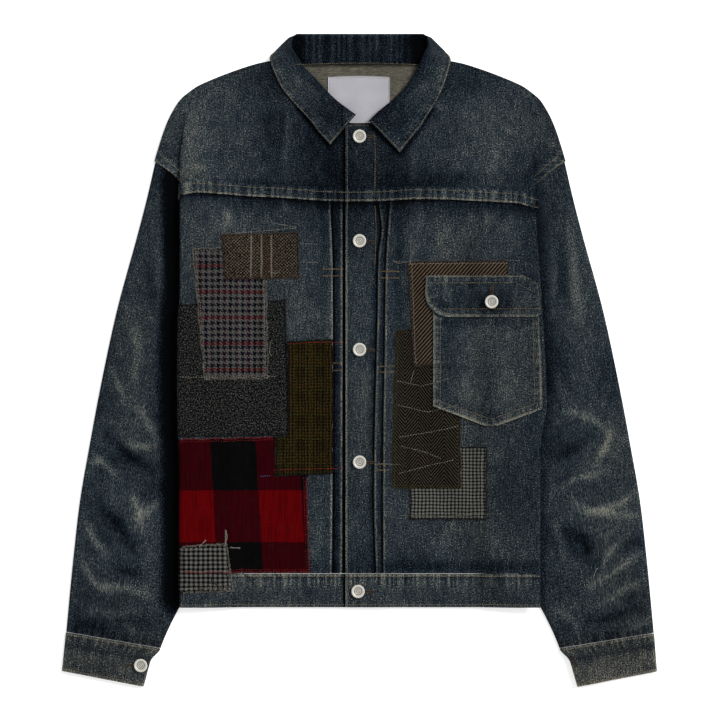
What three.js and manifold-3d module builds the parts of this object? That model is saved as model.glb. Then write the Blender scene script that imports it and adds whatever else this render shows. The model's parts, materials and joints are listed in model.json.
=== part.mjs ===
// A denim work jacket with wool patches, laid flat on its back with its sleeves down its sides.
// Millimetres. +Z is up, away from the surface that it lies on; +Y runs from the hem to the collar,
// and +X towards the wearer's left. The origin is the middle of its box, on the surface.
//
// The layers, from the surface up: sleeves, back, the folded-under sides, fronts, patches and pocket.
// The jacket is pressed flat, so one height field says how high each panel's middle surface lies, and
// what is sewn on a panel is made from the same field, moved out.

import * as THREE from "three";
import Module from "manifold-3d";

// Cloth
const DENIM = 1.5; // a single layer
const DOUBLED = 2.2; // waistband and cuffs
const WOOL = 1.0; // a patch
const GAP = 0.3; // between pieces that touch
const LOOSE = 0.65; // under a patch or a pocket

// Heights, between the middle surfaces of the walls
const SLEEVE_HEIGHT = 6; // of the flattened tube
const HEAD_HEIGHT = 3.7; // of its upper end, at the armhole
const CUFF_HEIGHT = 7.4;
const OVER_SLEEVE = SLEEVE_HEIGHT + 0.4; // how far a sleeve lifts the body over it
const FRONT_OVER_BACK = 2.6;
const BACK_TAIL = 2.6; // the back's folded side, above the back
const FRONT_TAIL = 4.8; // the front's folded side, above the back
const SIDE_PUFF = 6.5; // how far the folded sides lift the front
const CAP_OVER_BACK = 2.2; // the front yoke, out at the armhole
const OVERLAP_STEP = 2.6; // the left front over the right one
const NECK_LIFT = 3.2; // how far the turned-down collar lifts the neck
const BAND_RISE = 1.3; // the waistband above the front
const PLEAT_RISE = 1.0;

// Lengths along the jacket
const NECK_BACK = 340; // the seam of the collar at the middle of the back
const FRONT_TOP = 271; // the top of the fronts, between the collar points
const YOKE_SEAM = 184;
const WAIST_SEAM = -245.5;
const HEM = -284;
const SHOULDER_TIP = 228; // where the armhole meets the shoulder

// The front edges, each as its width on its own side
const frontEdge = { left: -16.5, right: -18 };
const side = { right: -1, left: 1 }; // the wearer's

const clamp = (t) => Math.min(1, Math.max(0, t));
const smooth = (t) => clamp(t) ** 2 * (3 - 2 * clamp(t));
const mix = (a, b, t) => a + (b - a) * t;
const point = (x, y, z) => new THREE.Vector3(x, y, z);
const steps = (from, to, count) => Array.from({ length: count + 1 }, (_, i) => mix(from, to, i / count));

// A value that runs smoothly through [at, value] pairs, given in rising order of at.
function through(...pairs) {
  const n = pairs.length;
  const slope = (i) => {
    const [a, b] = [pairs[Math.max(0, i - 1)], pairs[Math.min(n - 1, i + 1)]];
    return (b[1] - a[1]) / (b[0] - a[0]);
  };
  return (at) => {
    if (at <= pairs[0][0]) return pairs[0][1];
    if (at >= pairs[n - 1][0]) return pairs[n - 1][1];
    const i = pairs.findIndex((p) => p[0] > at) - 1;
    const [[x0, y0], [x1, y1]] = [pairs[i], pairs[i + 1]];
    const [h, t] = [x1 - x0, (at - x0) / (x1 - x0)];
    const [rise, fall] = [3 * t ** 2 - 2 * t ** 3, t ** 3 - t ** 2];
    return mix(y0, y1, rise) + slope(i) * h * (fall - t ** 2 + t) + slope(i + 1) * h * fall;
  };
}

// ---------------------------------------------------------------- outlines, as widths from the middle

// The folds down the sides of the body, at each length
const foldAt = {
  right: through([-284, 207], [-110, 207], [-80, 209.5], [40, 209.5], [75, 207], [209, 207], [240, 206], [300, 198]),
  left: through([-284, 207], [-161, 207], [-90, 208], [-55, 214], [11, 212], [98, 206.5], [138, 203.5], [184, 201], [300, 196]),
};
// Where each fold begins under the shoulder, and how far the cloth runs back under it
const foldTop = { right: 292, left: 250 };
const tuckAt = {
  right: through([-284, 45], [-100, 55], [115, 57], [184, 40], [215, 22], [270, 6], [292, 0]),
  left: through([-284, 45], [-100, 55], [115, 57], [184, 34], [209, 12], [250, 0]),
};
// The shoulder line, from the tip up to the neck, and the armhole below it
const shoulderAt = through(
  [SHOULDER_TIP, 235], [245, 230], [262, 224.5], [277, 218.5], [290, 211.5], [300, 204.5], [308, 195],
  [315.5, 184], [325.5, 161], [334, 138], [341, 115], [344, 100], [346, 90],
);
const armholeAt = through([176, 176], [185, 184], [209, 207], [SHOULDER_TIP, 235]);
// The neckline of the fronts
const necklineAt = through([FRONT_TOP, 9], [281, 28], [295, 50], [315, 70], [335, 82], [346, 84]);

// A sleeve's outer and inner edges
const sleeveOuterAt = through(
  [-314, 337], [-276, 333.5], [-230, 329], [-161, 321], [-92, 309], [-46, 300.5], [23, 286.4], [69, 275.6],
  [138, 256.5], [184, 244.5], [227, 234.6],
);
const sleeveInnerAt = through(
  [-331, 230], [-316, 224], [-299, 216], [-282, 207], [-240, 180], [-190, 155], [-130, 133], [-70, 115],
  [-10, 103], [40, 98], [80, 100],
);
// Its upper end, which runs along the armhole and then under the body: [share of the width, width, length]
const sleeveHead = [[0, 234.8, 226.6], [0.2, 207.6, 208], [0.36, 201, 150], [0.55, 172, 136], [0.78, 136, 108], [1, 100, 80]];
const sleeveMouthAt = through([98, 80], [136, 108], [172, 136], [201, 150]);

// ---------------------------------------------------------------- heights

// 0 to 1: how far the sleeve underneath lifts the body here
function onSleeve(x, y) {
  const wide = Math.abs(x);
  const inward = smooth((wide - sleeveInnerAt(y) + 54) / 38);
  return inward * smooth((sleeveMouthAt(wide) + 46 - y) / 32);
}

// 0 to 1: how far the folded side lifts the front here
function onTuck(name, wide, y) {
  const end = foldAt[name](y) - tuckAt[name](y);
  return smooth((wide - end + 30) / 26) * smooth((foldTop[name] - y) / 75);
}

// 0 to 1: how far the turned-down back of the collar lifts the neck here
const onNeck = (x, y) => smooth((y - 302) / 28) * smooth((150 - Math.abs(x)) / 40);

const backHeight = (x, y) => DENIM / 2 + OVER_SLEEVE * onSleeve(x, y) + NECK_LIFT * onNeck(x, y);

function frontHeight(name, wide, y) {
  const panel = backHeight(wide, y) + FRONT_OVER_BACK + SIDE_PUFF * onTuck(name, wide, y);
  return name === "left" ? panel + OVERLAP_STEP * smooth((46 - wide) / 24) : panel;
}

// ---------------------------------------------------------------- solids

function solid(points, faces) {
  const geometry = new THREE.BufferGeometry().setFromPoints(points);
  const corners = faces.map((i) => points[i]);
  let volume = 0;
  for (let i = 0; i < corners.length; i += 3) {
    volume += corners[i].dot(corners[i + 1].clone().cross(corners[i + 2]));
  }
  if (volume < 0) for (let i = 0; i < faces.length; i += 3) [faces[i], faces[i + 1]] = [faces[i + 1], faces[i]];
  geometry.setIndex(faces);
  geometry.computeVertexNormals();
  return geometry;
}

// A closed wall between two grids of points of the same size.
function between(upper, lower) {
  const [nRows, nCols] = [upper.length, upper[0].length];
  const n = nRows * nCols;
  const id = (r, c) => r * nCols + c;
  const faces = [];
  const quad = (a, b, c, d) => faces.push(a, b, c, a, c, d);
  for (let r = 0; r + 1 < nRows; r++) {
    for (let c = 0; c + 1 < nCols; c++) {
      // Both sides of the jacket, and every layer, are cut into triangles the same way
      const outward = Math.abs(upper[r][c].x) < Math.abs(upper[r][c + 1].x);
      const [a, b, e, d] = [id(r, c), id(r, c + 1), id(r + 1, c + 1), id(r + 1, c)];
      if (outward) {
        quad(a, b, e, d);
        quad(n + a, n + d, n + e, n + b);
      } else {
        quad(b, e, d, a);
        quad(n + b, n + a, n + d, n + e);
      }
    }
  }
  const rim = [];
  for (let c = 0; c + 1 < nCols; c++) rim.push(id(0, c));
  for (let r = 0; r + 1 < nRows; r++) rim.push(id(r, nCols - 1));
  for (let c = nCols - 1; c > 0; c--) rim.push(id(nRows - 1, c));
  for (let r = nRows - 1; r > 0; r--) rim.push(id(r, 0));
  rim.forEach((a, i) => {
    const b = rim[(i + 1) % rim.length];
    quad(a, n + a, n + b, b);
  });
  return solid([...upper.flat(), ...lower.flat()], faces);
}

// A wall around the middle surface given by sections across the jacket, each of them at one length.
function wall(sections, thickness) {
  const moved = (way) => sections.map((section) => section.map((p, i) => {
    const [a, b] = [section[Math.max(0, i - 1)], section[Math.min(section.length - 1, i + 1)]];
    const run = Math.hypot(b.x - a.x, b.z - a.z);
    const out = (way * thickness) / 2 / run;
    return point(p.x - (b.z - a.z) * out, p.y, p.z + (b.x - a.x) * out);
  }));
  return between(moved(1), moved(-1));
}

// A closed wall round an open tube, from rings of points: the outside's and the inside's.
function tube(outside, inside) {
  const [nRings, around] = [outside.length, outside[0].length];
  const n = nRings * around;
  const id = (r, k) => r * around + (k % around);
  const faces = [];
  const quad = (a, b, c, d) => faces.push(a, b, c, a, c, d);
  for (let k = 0; k < around; k++) {
    for (let r = 0; r + 1 < nRings; r++) {
      quad(id(r, k), id(r, k + 1), id(r + 1, k + 1), id(r + 1, k));
      quad(n + id(r, k), n + id(r + 1, k), n + id(r + 1, k + 1), n + id(r, k + 1));
    }
    const last = nRings - 1;
    quad(id(0, k), n + id(0, k), n + id(0, k + 1), id(0, k + 1));
    quad(id(last, k), id(last, k + 1), n + id(last, k + 1), n + id(last, k));
  }
  return solid([...outside.flat(), ...inside.flat()], faces);
}

// A solid through closed loops of points, with flat ends.
function loft(loops) {
  const around = loops[0].length;
  const id = (r, k) => r * around + (k % around);
  const faces = [];
  for (let r = 0; r + 1 < loops.length; r++) {
    for (let k = 0; k < around; k++) {
      faces.push(id(r, k), id(r, k + 1), id(r + 1, k + 1), id(r, k), id(r + 1, k + 1), id(r + 1, k));
    }
  }
  const last = loops.length - 1;
  for (let k = 1; k + 1 < around; k++) faces.push(id(0, 0), id(0, k + 1), id(0, k), id(last, 0), id(last, k), id(last, k + 1));
  return solid(loops.flat(), faces);
}

const jacket = new THREE.Group();

function piece(name, geometry, finish) {
  const mesh = new THREE.Mesh(geometry, finish);
  mesh.name = name;
  jacket.add(mesh);
}

const cloth = (colour) => new THREE.MeshStandardMaterial({ color: colour, roughness: 0.95, metalness: 0 });
const denim = cloth(0x2c3b4d);
const greyWool = cloth(0x4a4a46);
const brownWool = cloth(0x5a4838);
const redWool = cloth(0x6e1f22);
const tape = cloth(0xdedbd2);
const metal = new THREE.MeshStandardMaterial({ color: 0xc9c8c2, roughness: 0.35, metalness: 0.9 });

// ---------------------------------------------------------------- fronts and waistband

// Widths across the body: those that front and back share, and a front's own, with its pleat's corners
const sharedWidths = [58, 71, 84, 97, 109, 122, 136, 150, 176];
const frontWidths = { right: [-18, 0, 20, 29.5, 31, 44, 45.5], left: [-16.5, 8, 21.5, 23, 32.5, 34, 46] };
const panelLengths = [YOKE_SEAM - GAP, 164, 146, 129, 111, 94, 68, 34, -8, -45, -88, -140, -190, WAIST_SEAM + GAP];
const bandLengths = [WAIST_SEAM - GAP, -265, HEM];
const pleat = { right: [30, 45], left: [22, 33] };

// One section across a front: the panel, the fold at the side and the cloth under it
function frontSection(name, y, thickness, tailHeight, rise) {
  const edge = foldAt[name](y) - thickness / 2;
  const raised = (wide) => (wide > pleat[name][0] && wide < pleat[name][1] ? PLEAT_RISE : 0);
  const height = (wide) => frontHeight(name, wide, y) + rise + raised(wide);
  const [top, low] = [height(edge - 6), backHeight(edge - 6, y) + tailHeight];
  const radius = (top - low) / 2;
  const section = [...frontWidths[name], ...sharedWidths].map((wide) => [wide, height(wide)]);
  for (const turn of steps(0, Math.PI, 4)) {
    section.push([edge - radius + radius * Math.sin(turn), (top + low) / 2 + radius * Math.cos(turn)]);
  }
  for (const wide of [192, 176, foldAt[name](y) - tuckAt[name](y)]) section.push([wide, backHeight(wide, y) + tailHeight]);
  return section.map(([wide, z]) => point(side[name] * wide, y, z));
}

for (const name of ["right", "left"]) {
  piece(`front_${name}`, wall(panelLengths.map((y) => frontSection(name, y, DENIM, FRONT_TAIL, 0)), DENIM), denim);
  piece(`waistband_${name}`, wall(bandLengths.map((y) => frontSection(name, y, DOUBLED, 5.7, BAND_RISE)), DOUBLED), denim);
}

// ---------------------------------------------------------------- front yokes

// One section across a front yoke: from the neck or the front edge to the fold, back under it, and out
// again to the armhole. Near the shoulder the fold opens out.
function yokeSection(name, y) {
  const outer = y > SHOULDER_TIP ? shoulderAt(y) : armholeAt(y);
  const flatFold = Math.min(foldAt[name](Math.min(y, foldTop[name])), outer - 9);
  const fold = mix(flatFold, foldAt[name](y), smooth((SHOULDER_TIP - y) / 20)) - DENIM / 2;
  const folded = smooth((foldTop[name] - y) / 40);
  const tuck = tuckAt[name](y);
  const inner = y > FRONT_TOP ? necklineAt(y) : frontEdge[name];
  const shares = [0, 0.13, 0.19, 0.25, 0.31, 0.5, 0.7, 0.86, 1];
  const section = shares.map((t) => mix(inner, fold - 6, t)).map((wide) => [wide, frontHeight(name, wide, y)]);
  const [top, low] = [frontHeight(name, fold - 5, y), backHeight(fold, y) + CAP_OVER_BACK];
  const turn = [
    [-3, -0.9, 0.1],
    [-1.5, 0, 0.3],
    [0, -1.2, 0.5],
    [1, -Math.max(3, tuck), 0.55],
    [2, -Math.max(4.6, tuck + 1.6), 0.8],
    [3.4, -Math.max(3, tuck), 1],
  ];
  for (const [flat, bent, down] of turn) section.push([fold + mix(flat, bent, folded), mix(top, low, down)]);
  const start = fold + mix(3.4, -Math.max(3, tuck), folded);
  for (const wide of steps(start, outer, 3).slice(1)) section.push([wide, backHeight(wide, y) + CAP_OVER_BACK]);
  return section.map(([wide, z]) => point(side[name] * wide, y, z));
}

for (const name of ["right", "left"]) {
  const lengths = [346, 338, 330, 320, 308, 296, 283, FRONT_TOP, 250, SHOULDER_TIP, 214, 200, YOKE_SEAM];
  piece(`front_yoke_${name}`, wall(lengths.map((y) => yokeSection(name, y)), DENIM), denim);
}

// ---------------------------------------------------------------- back

const outerAt = (y) => (y > SHOULDER_TIP ? shoulderAt(y) : armholeAt(y));
const yokeLengths = [NECK_BACK, 330, 320, 308, 296, 271, 250, SHOULDER_TIP, 214, 200, YOKE_SEAM];
const backYokeRows = yokeLengths.map((y) => steps(-outerAt(y), outerAt(y), 16).map((x) => point(x, y, backHeight(x, y))));
piece("back_yoke", wall(backYokeRows, DENIM), denim);

// The back: flat in the middle, over the sleeves at its sides, and folded over to the side seams
function backSection(y, thickness, rise, tailHeight) {
  const half = (name) => {
    const tail = mix(3, tuckAt[name](y) - 9, smooth((130 - y) / 28));
    const edge = mix(armholeAt(y), foldAt[name](y) - 9, smooth((YOKE_SEAM - y) / 30)) - thickness / 2;
    const [low, top] = [backHeight(edge - 4, y) + rise, backHeight(edge - 4, y) + tailHeight];
    const radius = (top - low) / 2;
    const section = [0, 45, ...sharedWidths].map((wide) => [wide, backHeight(wide, y) + rise]);
    for (const turn of steps(0, Math.PI, 4)) {
      section.push([edge - radius + radius * Math.sin(turn), (top + low) / 2 - radius * Math.cos(turn)]);
    }
    const end = edge - radius - tail;
    for (const wide of [Math.max(176, end + 1), end]) section.push([wide, backHeight(wide, y) + tailHeight]);
    return section.map(([wide, z]) => point(side[name] * wide, y, z));
  };
  return [...half("right").reverse(), ...half("left").slice(1)];
}

piece("back_panel", wall(panelLengths.map((y) => backSection(y, DENIM, 0, BACK_TAIL)), DENIM), denim);
piece("waistband_back", wall(bandLengths.map((y) => backSection(y, DOUBLED, 0.35, 3.0)), DOUBLED), denim);

// ---------------------------------------------------------------- sleeves and cuffs

// The section of a flattened tube: [share of the width, share of the height], over the top and back
const tubeTop = [[0, 0.5], [0.008, 0.8], [0.03, 0.97], [0.2, 1], [0.5, 1], [0.8, 1], [0.97, 0.97], [0.992, 0.8], [1, 0.5]];
const tubeSection = [...tubeTop, ...tubeTop.slice(1, -1).map(([u, h]) => [u, 1 - h]).reverse()];

// A flattened open tube. across(u, t) is the place of a point at a share u of the width and t of the length.
function flatTube(across, shares, heightAt, thickness, raiseAt = () => 0) {
  const ring = (t, inset) => tubeSection.map(([u, h]) => {
    const [a, b] = [across(0, t), across(1, t)];
    const width = Math.hypot(a[0] - b[0], a[1] - b[1]);
    const [x, y] = across(mix(inset / width, 1 - inset / width, u), t);
    return point(x, y, mix(inset, heightAt(t) - inset, h) + raiseAt(u, t));
  });
  return tube(shares.map((t) => ring(t, 0)), shares.map((t) => ring(t, thickness)));
}

function headAt(u) {
  const i = Math.min(sleeveHead.length - 2, Math.max(0, sleeveHead.findIndex((p) => p[0] >= u) - 1));
  const [a, b] = [sleeveHead[i], sleeveHead[i + 1]];
  const t = (u - a[0]) / (b[0] - a[0]);
  return [mix(a[1], b[1], t), mix(a[2], b[2], t)];
}

const cuffAt = {
  right: [[-337, -312.8], [-230, -331.2], [-341.6, -357.1], [-249.6, -374.9]],
  left: [[337, -314], [230, -331.2], [340.4, -357.7], [250.7, -374.9]],
};

for (const name of ["right", "left"]) {
  const s = side[name];
  const straight = (u, t) => {
    const [yOuter, yInner] = [mix(226.6, cuffAt[name][0][1] + GAP, t), mix(80, cuffAt[name][1][1] + GAP, t)];
    return [mix(sleeveOuterAt(yOuter), sleeveInnerAt(yInner), u), mix(yOuter, yInner, u)];
  };
  const across = (u, t) => {
    const [end, body] = [headAt(u), straight(u, t)];
    const chord = straight(u, 0);
    const share = 1 - smooth(t / 0.3);
    return [s * (body[0] + (end[0] - chord[0]) * share), body[1] + (end[1] - chord[1]) * share];
  };
  const height = (t) => mix(HEAD_HEIGHT, SLEEVE_HEIGHT, smooth(t / 0.12));
  const shares = [0, 0.06, 0.12, 0.2, 0.3, 0.42, 0.55, 0.7, 0.85, 1];
  piece(`sleeve_${name}`, flatTube(across, shares, height, DENIM), denim);

  const [topOuter, topInner, endOuter, endInner] = cuffAt[name];
  const cuffAcross = (u, t) => {
    const narrowed = 4 * smooth(t / 0.35) * u * s * (1 - t) * 2;
    return [0, 1].map((k) => mix(mix(topOuter[k], topInner[k], u), mix(endOuter[k], endInner[k], u), t) + (k ? -GAP : narrowed));
  };
  const raise = (u, t) => (name === "left" ? 3.6 * smooth((u - 0.5) / 0.3) * smooth(t / 0.35) : 0);
  piece(`cuff_${name}`, flatTube(cuffAcross, [0, 0.35, 1], () => CUFF_HEIGHT, DOUBLED, raise), denim);
}

// ---------------------------------------------------------------- collar and label

// The turned-down collar at places along it: the inner edge of its fold, and its outer edge
const leaf = {
  right: [
    [[-4.6, 281.8], [-34.5, 247.3]],
    [[-17.3, 291], [-46, 259.9]],
    [[-28.8, 300.2], [-57.5, 274.9]],
    [[-40.3, 311.7], [-69, 287.5]],
    [[-51.8, 324.3], [-80.5, 300.2]],
    [[-63.3, 335.8], [-91, 313.8]],
    [[-70, 346], [-99, 331]],
    [[-75.5, 352.5], [-103.6, 345.8]],
    [[-76, 353.5], [-103.8, 346.8]],
    [[-79, 360], [-100, 352.7]],
    [[-77.5, 366], [-89.5, 362.4]],
    [[-76, 371.5], [-79.5, 371.8]],
  ],
  left: [
    [[10.4, 274.9], [46, 238.1]],
    [[20.7, 285.2], [57.5, 253]],
    [[32.2, 294.4], [69, 266.8]],
    [[41.4, 302.5], [80.5, 285.2]],
    [[51.8, 312.8], [90, 301.3]],
    [[61, 326], [97.5, 318.5]],
    [[68, 341], [103, 337]],
    [[74, 352.5], [103.6, 345.8]],
    [[74.6, 353.5], [103.8, 346.8]],
    [[77.5, 360], [100, 352.7]],
    [[77, 366], [89.5, 362.4]],
    [[76, 371.5], [79.5, 371.8]],
  ],
};
const OVER_SHOULDER = 8; // the first of these places that is past the shoulders' edges
const LEAF_BODY = 4.6; // of the folded cloth, at its fold
const LEAF_EDGE = 2.2; // at its outer edge

// Up round the fold, out over the top, round the edge and back underneath
const leafShape = [
  [0.06, 0], [0.015, 0.2], [0, 0.5], [0.02, 0.85], [0.08, 1], [0.35, 1], [0.65, 1], [0.94, 1], [0.99, 0.85],
  [1, 0.5], [0.99, 0.15], [0.94, 0], [0.65, 0], [0.35, 0],
];

function leafLoop(name, [fold, edge], index) {
  const past = index >= OVER_SHOULDER;
  return leafShape.map(([u, h]) => {
    const [x, y] = [mix(fold[0], edge[0], u), mix(fold[1], edge[1], u)];
    const crossed = x > -20 ? frontHeight("left", x, y) : 0;
    const low = Math.max(frontHeight(name, Math.abs(x), Math.min(y, 345)), crossed) + DENIM / 2 + 2 * LOOSE;
    const high = low + mix(LEAF_BODY, LEAF_EDGE, smooth((u - 0.3) / 0.7)) - 0.6 * Math.max(0, index - OVER_SHOULDER);
    return point(x, y, mix(past ? 0.1 : low, high, h));
  });
}

// Behind the neck: out along the top, round the fold and back under the neck
const neckShape = [[333, 0.1], [333, 2.3], [340.3, 2.6], [340.3, 5.1], [368, 5.1], [373.2, 4.4], [375, 2.6], [373.8, 0.9], [370, 0.1]];
const neckLoops = [-84, -77, -40, 0, 40, 77, 84].map((x) => {
  const short = Math.abs(x) > 80 ? 6 : 0;
  return neckShape.map(([y, z]) => point(x, y > 360 ? y - short : y, z));
});

const wasm = await Module();
wasm.setup();

const body = (geometry) => new wasm.Manifold(new wasm.Mesh({
  numProp: 3,
  vertProperties: new Float32Array(geometry.getAttribute("position").array),
  triVerts: new Uint32Array(geometry.getIndex().array),
}));

function plain(manifold) {
  const mesh = manifold.getMesh();
  const geometry = new THREE.BufferGeometry();
  geometry.setAttribute("position", new THREE.BufferAttribute(new Float32Array(mesh.vertProperties), 3));
  geometry.setIndex([...mesh.triVerts]);
  geometry.computeVertexNormals();
  return geometry;
}

const leaves = ["right", "left"].map((name) => body(loft(leaf[name].map((place, i) => leafLoop(name, place, i)))));
piece("collar", plain(body(loft(neckLoops)).add(leaves[0]).add(leaves[1])), denim);

const labelRows = [326.6, 320, 308, 296, 272.6].map((y) => {
  const half = y > 322 ? 31 : 35.6;
  return steps(-half - 1.1, half - 1.1, 4).map((x) => point(x, y, backHeight(x, y) + DENIM / 2 + 0.5));
});
piece("neck_label", wall(labelRows, 0.6), tape);

// ---------------------------------------------------------------- on the fronts

// The top of a front as it is built, flat between its corners
const frontGrid = {};
for (const name of ["right", "left"]) {
  const widths = [...frontWidths[name], ...sharedWidths, 203];
  const raised = (wide) => (wide > pleat[name][0] && wide < pleat[name][1] ? PLEAT_RISE : 0);
  const heightAt = (wide, y) => frontHeight(name, Math.min(wide, foldAt[name](y) - 6.75), y) + raised(wide) + DENIM / 2;
  frontGrid[name] = { widths, heights: panelLengths.map((y) => widths.map((wide) => heightAt(wide, y))) };
}

function topOf(name, wide, y) {
  const { widths, heights } = frontGrid[name];
  const c = Math.max(0, Math.min(widths.length - 2, widths.findIndex((w) => w > wide) - 1 + (wide >= 203 ? widths.length : 0)));
  const r = Math.max(0, Math.min(panelLengths.length - 2, panelLengths.findIndex((l) => l < y) - 1 + (y <= WAIST_SEAM + GAP ? 99 : 0)));
  const u = clamp((wide - widths[c]) / (widths[c + 1] - widths[c]));
  const v = clamp((panelLengths[r] - y) / (panelLengths[r] - panelLengths[r + 1]));
  const [a, b, d, e] = [heights[r][c], heights[r][c + 1], heights[r + 1][c], heights[r + 1][c + 1]];
  return u > v ? a * (1 - u) + b * (u - v) + e * v : a * (1 - v) + d * (v - u) + e * u;
}

// 0 to 1: whether a place is over a box [x0, x1, y0, y1], with a slope from 6 to 1 outside it
const over = ([x0, x1, y0, y1], x, y) =>
  smooth((x - x0 + 6) / 5) * smooth((x1 + 6 - x) / 5) * smooth((y - y0 + 6) / 5) * smooth((y1 + 6 - y) / 5);
const LAYER = WOOL + LOOSE;

// A piece lying on a front. Each of its edges gives x along the height or y along the width, from 0 to 1.
// Inside, it has the front's own lines, and those of the patches under it, over which it is raised.
function laid(name, wearer, edges, thickness, under, rise, finish) {
  const { left, right, top, bottom } = edges;
  const s = side[wearer];
  const [x0, x1, y0, y1] = [left(0), right(0), top(0), bottom(0)];
  const inside = (lines, low, high) => lines.filter((t) => t > low + 0.8 && t < high - 0.8);
  const apart = (lines) => lines.filter((t, i) => i === 0 || Math.abs(t - lines[i - 1]) > 0.6);
  const across = [...frontGrid[wearer].widths.map((w) => s * w), ...under.flatMap((b) => [b[0] - 6, b[0] - 1, b[1] + 1, b[1] + 6])];
  const along = [...panelLengths, ...under.flatMap((b) => [b[2] - 6, b[2] - 1, b[3] + 1, b[3] + 6])];
  const xs = [x0, ...apart(inside(across, Math.max(x0, left(1)), Math.min(x1, right(1))).sort((a, b) => a - b)), x1];
  const ys = [y0, ...apart(inside(along, Math.max(y1, bottom(0.5)), Math.min(y0, top(1))).sort((a, b) => b - a)), y1];
  const lift = (x, y) => rise + LAYER * under.reduce((sum, box) => sum + over(box, x, y), 0);
  const rows = ys.map((yy, r) => xs.map((xx, c) => {
    const [v, u] = [(y0 - yy) / (y0 - y1), (xx - x0) / (x1 - x0)];
    const x = c === 0 ? left(v) : c === xs.length - 1 ? right(v) : xx;
    const y = r === 0 ? top(u) : r === ys.length - 1 ? bottom(u) : yy;
    return point(x, y, topOf(wearer, s * x, y) + LOOSE + thickness / 2 + lift(x, y));
  }));
  const moved = (way) => rows.map((row) => row.map((p) => point(p.x, p.y, p.z + (way * thickness) / 2)));
  piece(name, between(moved(1), moved(-1)), finish);
}

const line = (a, b) => (t) => mix(a, b, t);
const box = (left, right, top, bottom) => ({ left: line(...left), right: line(...right), top: line(...top), bottom: line(...bottom) });

const charcoal = [-203, -83, -86, 69];
const houndstooth = [-192, -106, -22, 129.5];
const redCheck = [-203, -58.7, -243.5, -87];
const patches = [
  ["patch_charcoal", "right", box([-203, -203], [-85, -83], [63, 69], [-88, -84.5]), [], greyWool],
  ["patch_houndstooth", "right", box([-192, -178], [-108.5, -106], [127.6, 129.5], [-20.7, -22]), [charcoal], greyWool],
  ["patch_brown_stripe", "right", box([-158.7, -154], [-71.3, -70.2], [143.7, 146], [94.3, 93.2]), [houndstooth], brownWool],
  ["patch_red_check", "right", box([-203, -203], [-63.3, -58.7], [-91.5, -88], [-243.5, -243.5]), [], redWool],
  ["patch_olive_check", "right", { ...box([-82, -82], [-31.5, -31.5], [20.7, 24], [-133.4, -130]), left: (v) => (v < 0.705 ? -82 : -97.8) },
    [redCheck], brownWool],
  ["patch_small_check", "right", box([-203, -203], [-151, -151], [-213.9, -210.5], [-241, -241]), [redCheck], greyWool],
];
const greyCheck = [57.5, 145, -183, -100];
const herringbone = [37, 116, -147, 34.5];
const twill = [55, 170.2, -7, 114];
patches.push(
  ["patch_grey_check", "left", box([57.5, 57.5], [145, 145], [-100, -100], [-182.9, -182.9]), [], greyWool],
  ["patch_herringbone", "left", box([41.4, 36.8], [113, 116], [34.5, 34.5], [-147, -147]), [greyCheck], brownWool],
  ["patch_brown_twill", "left", box([55.2, 62], [170.2, 170.2], [112.7, 113.9], [-6.9, -4]), [herringbone], brownWool],
);
for (const [name, wearer, outline, under, finish] of patches) {
  laid(name, wearer, outline, WOOL, under, under.length ? 0.15 : 0, finish);
}

const pocketBottom = (u) => (u < 0.53 ? mix(-53, -78.2, u / 0.53) : mix(-78.2, -56.4, (u - 0.53) / 0.47));
laid("pocket", "left", { ...box([84, 84], [204, 209], [80, 80], [0, 0]), bottom: pocketBottom }, DENIM, [herringbone, twill], 0, denim);
laid("pocket_flap", "left", {
  left: line(75.9, 74.8),
  right: line(203, 208),
  top: (u) => 97.2 - 9 * smooth((u - 0.85) / 0.15),
  bottom: (u) => mix(74.8, 49.5, smooth(u / 0.22)),
}, DENIM, [herringbone, twill], DENIM + LOOSE, denim);

// ---------------------------------------------------------------- buttons

const BUTTON_RADIUS = 7.7;
const BUTTON_HEIGHT = 3.2;
const buttonShape = [[0, 0], [0.72, 0], [0.95, 0.3], [1, 0.58], [0.95, 0.86], [0.84, 1], [0.72, 0.84], [0, 0.78]];

function button(name, x, y, z, tilt = 0) {
  const profile = buttonShape.map(([r, h]) => new THREE.Vector2(r * BUTTON_RADIUS, h * BUTTON_HEIGHT));
  const turned = new THREE.LatheGeometry(profile, 16).rotateX(Math.PI / 2 + tilt).translate(x, y, z);
  piece(name, turned, metal);
}

const onPlacket = (y) => (y > YOKE_SEAM ? frontHeight("left", 0, y) + DENIM / 2 : topOf("left", 0, y));
[257, 136.9, 12, -117.3].forEach((y, i) => button(`button_front_${i + 1}`, -0.6, y, onPlacket(y) + GAP));
button("button_front_5", -2.3, -265.7, frontHeight("left", 0, -265.7) + BAND_RISE + DOUBLED / 2 + GAP);
button("button_pocket", 150.7, 66.7, topOf("left", 150.7, 66.7) + LAYER + 2 * (DENIM + LOOSE) + GAP);
button("button_cuff_right", -251.9, -350.8, CUFF_HEIGHT + GAP);
button("button_cuff_left", 251, -350.2, 0.05);

export default jacket;
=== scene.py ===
import json
import math
import random

import bpy
import numpy as np
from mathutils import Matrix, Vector
from mathutils.bvhtree import BVHTree

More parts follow.
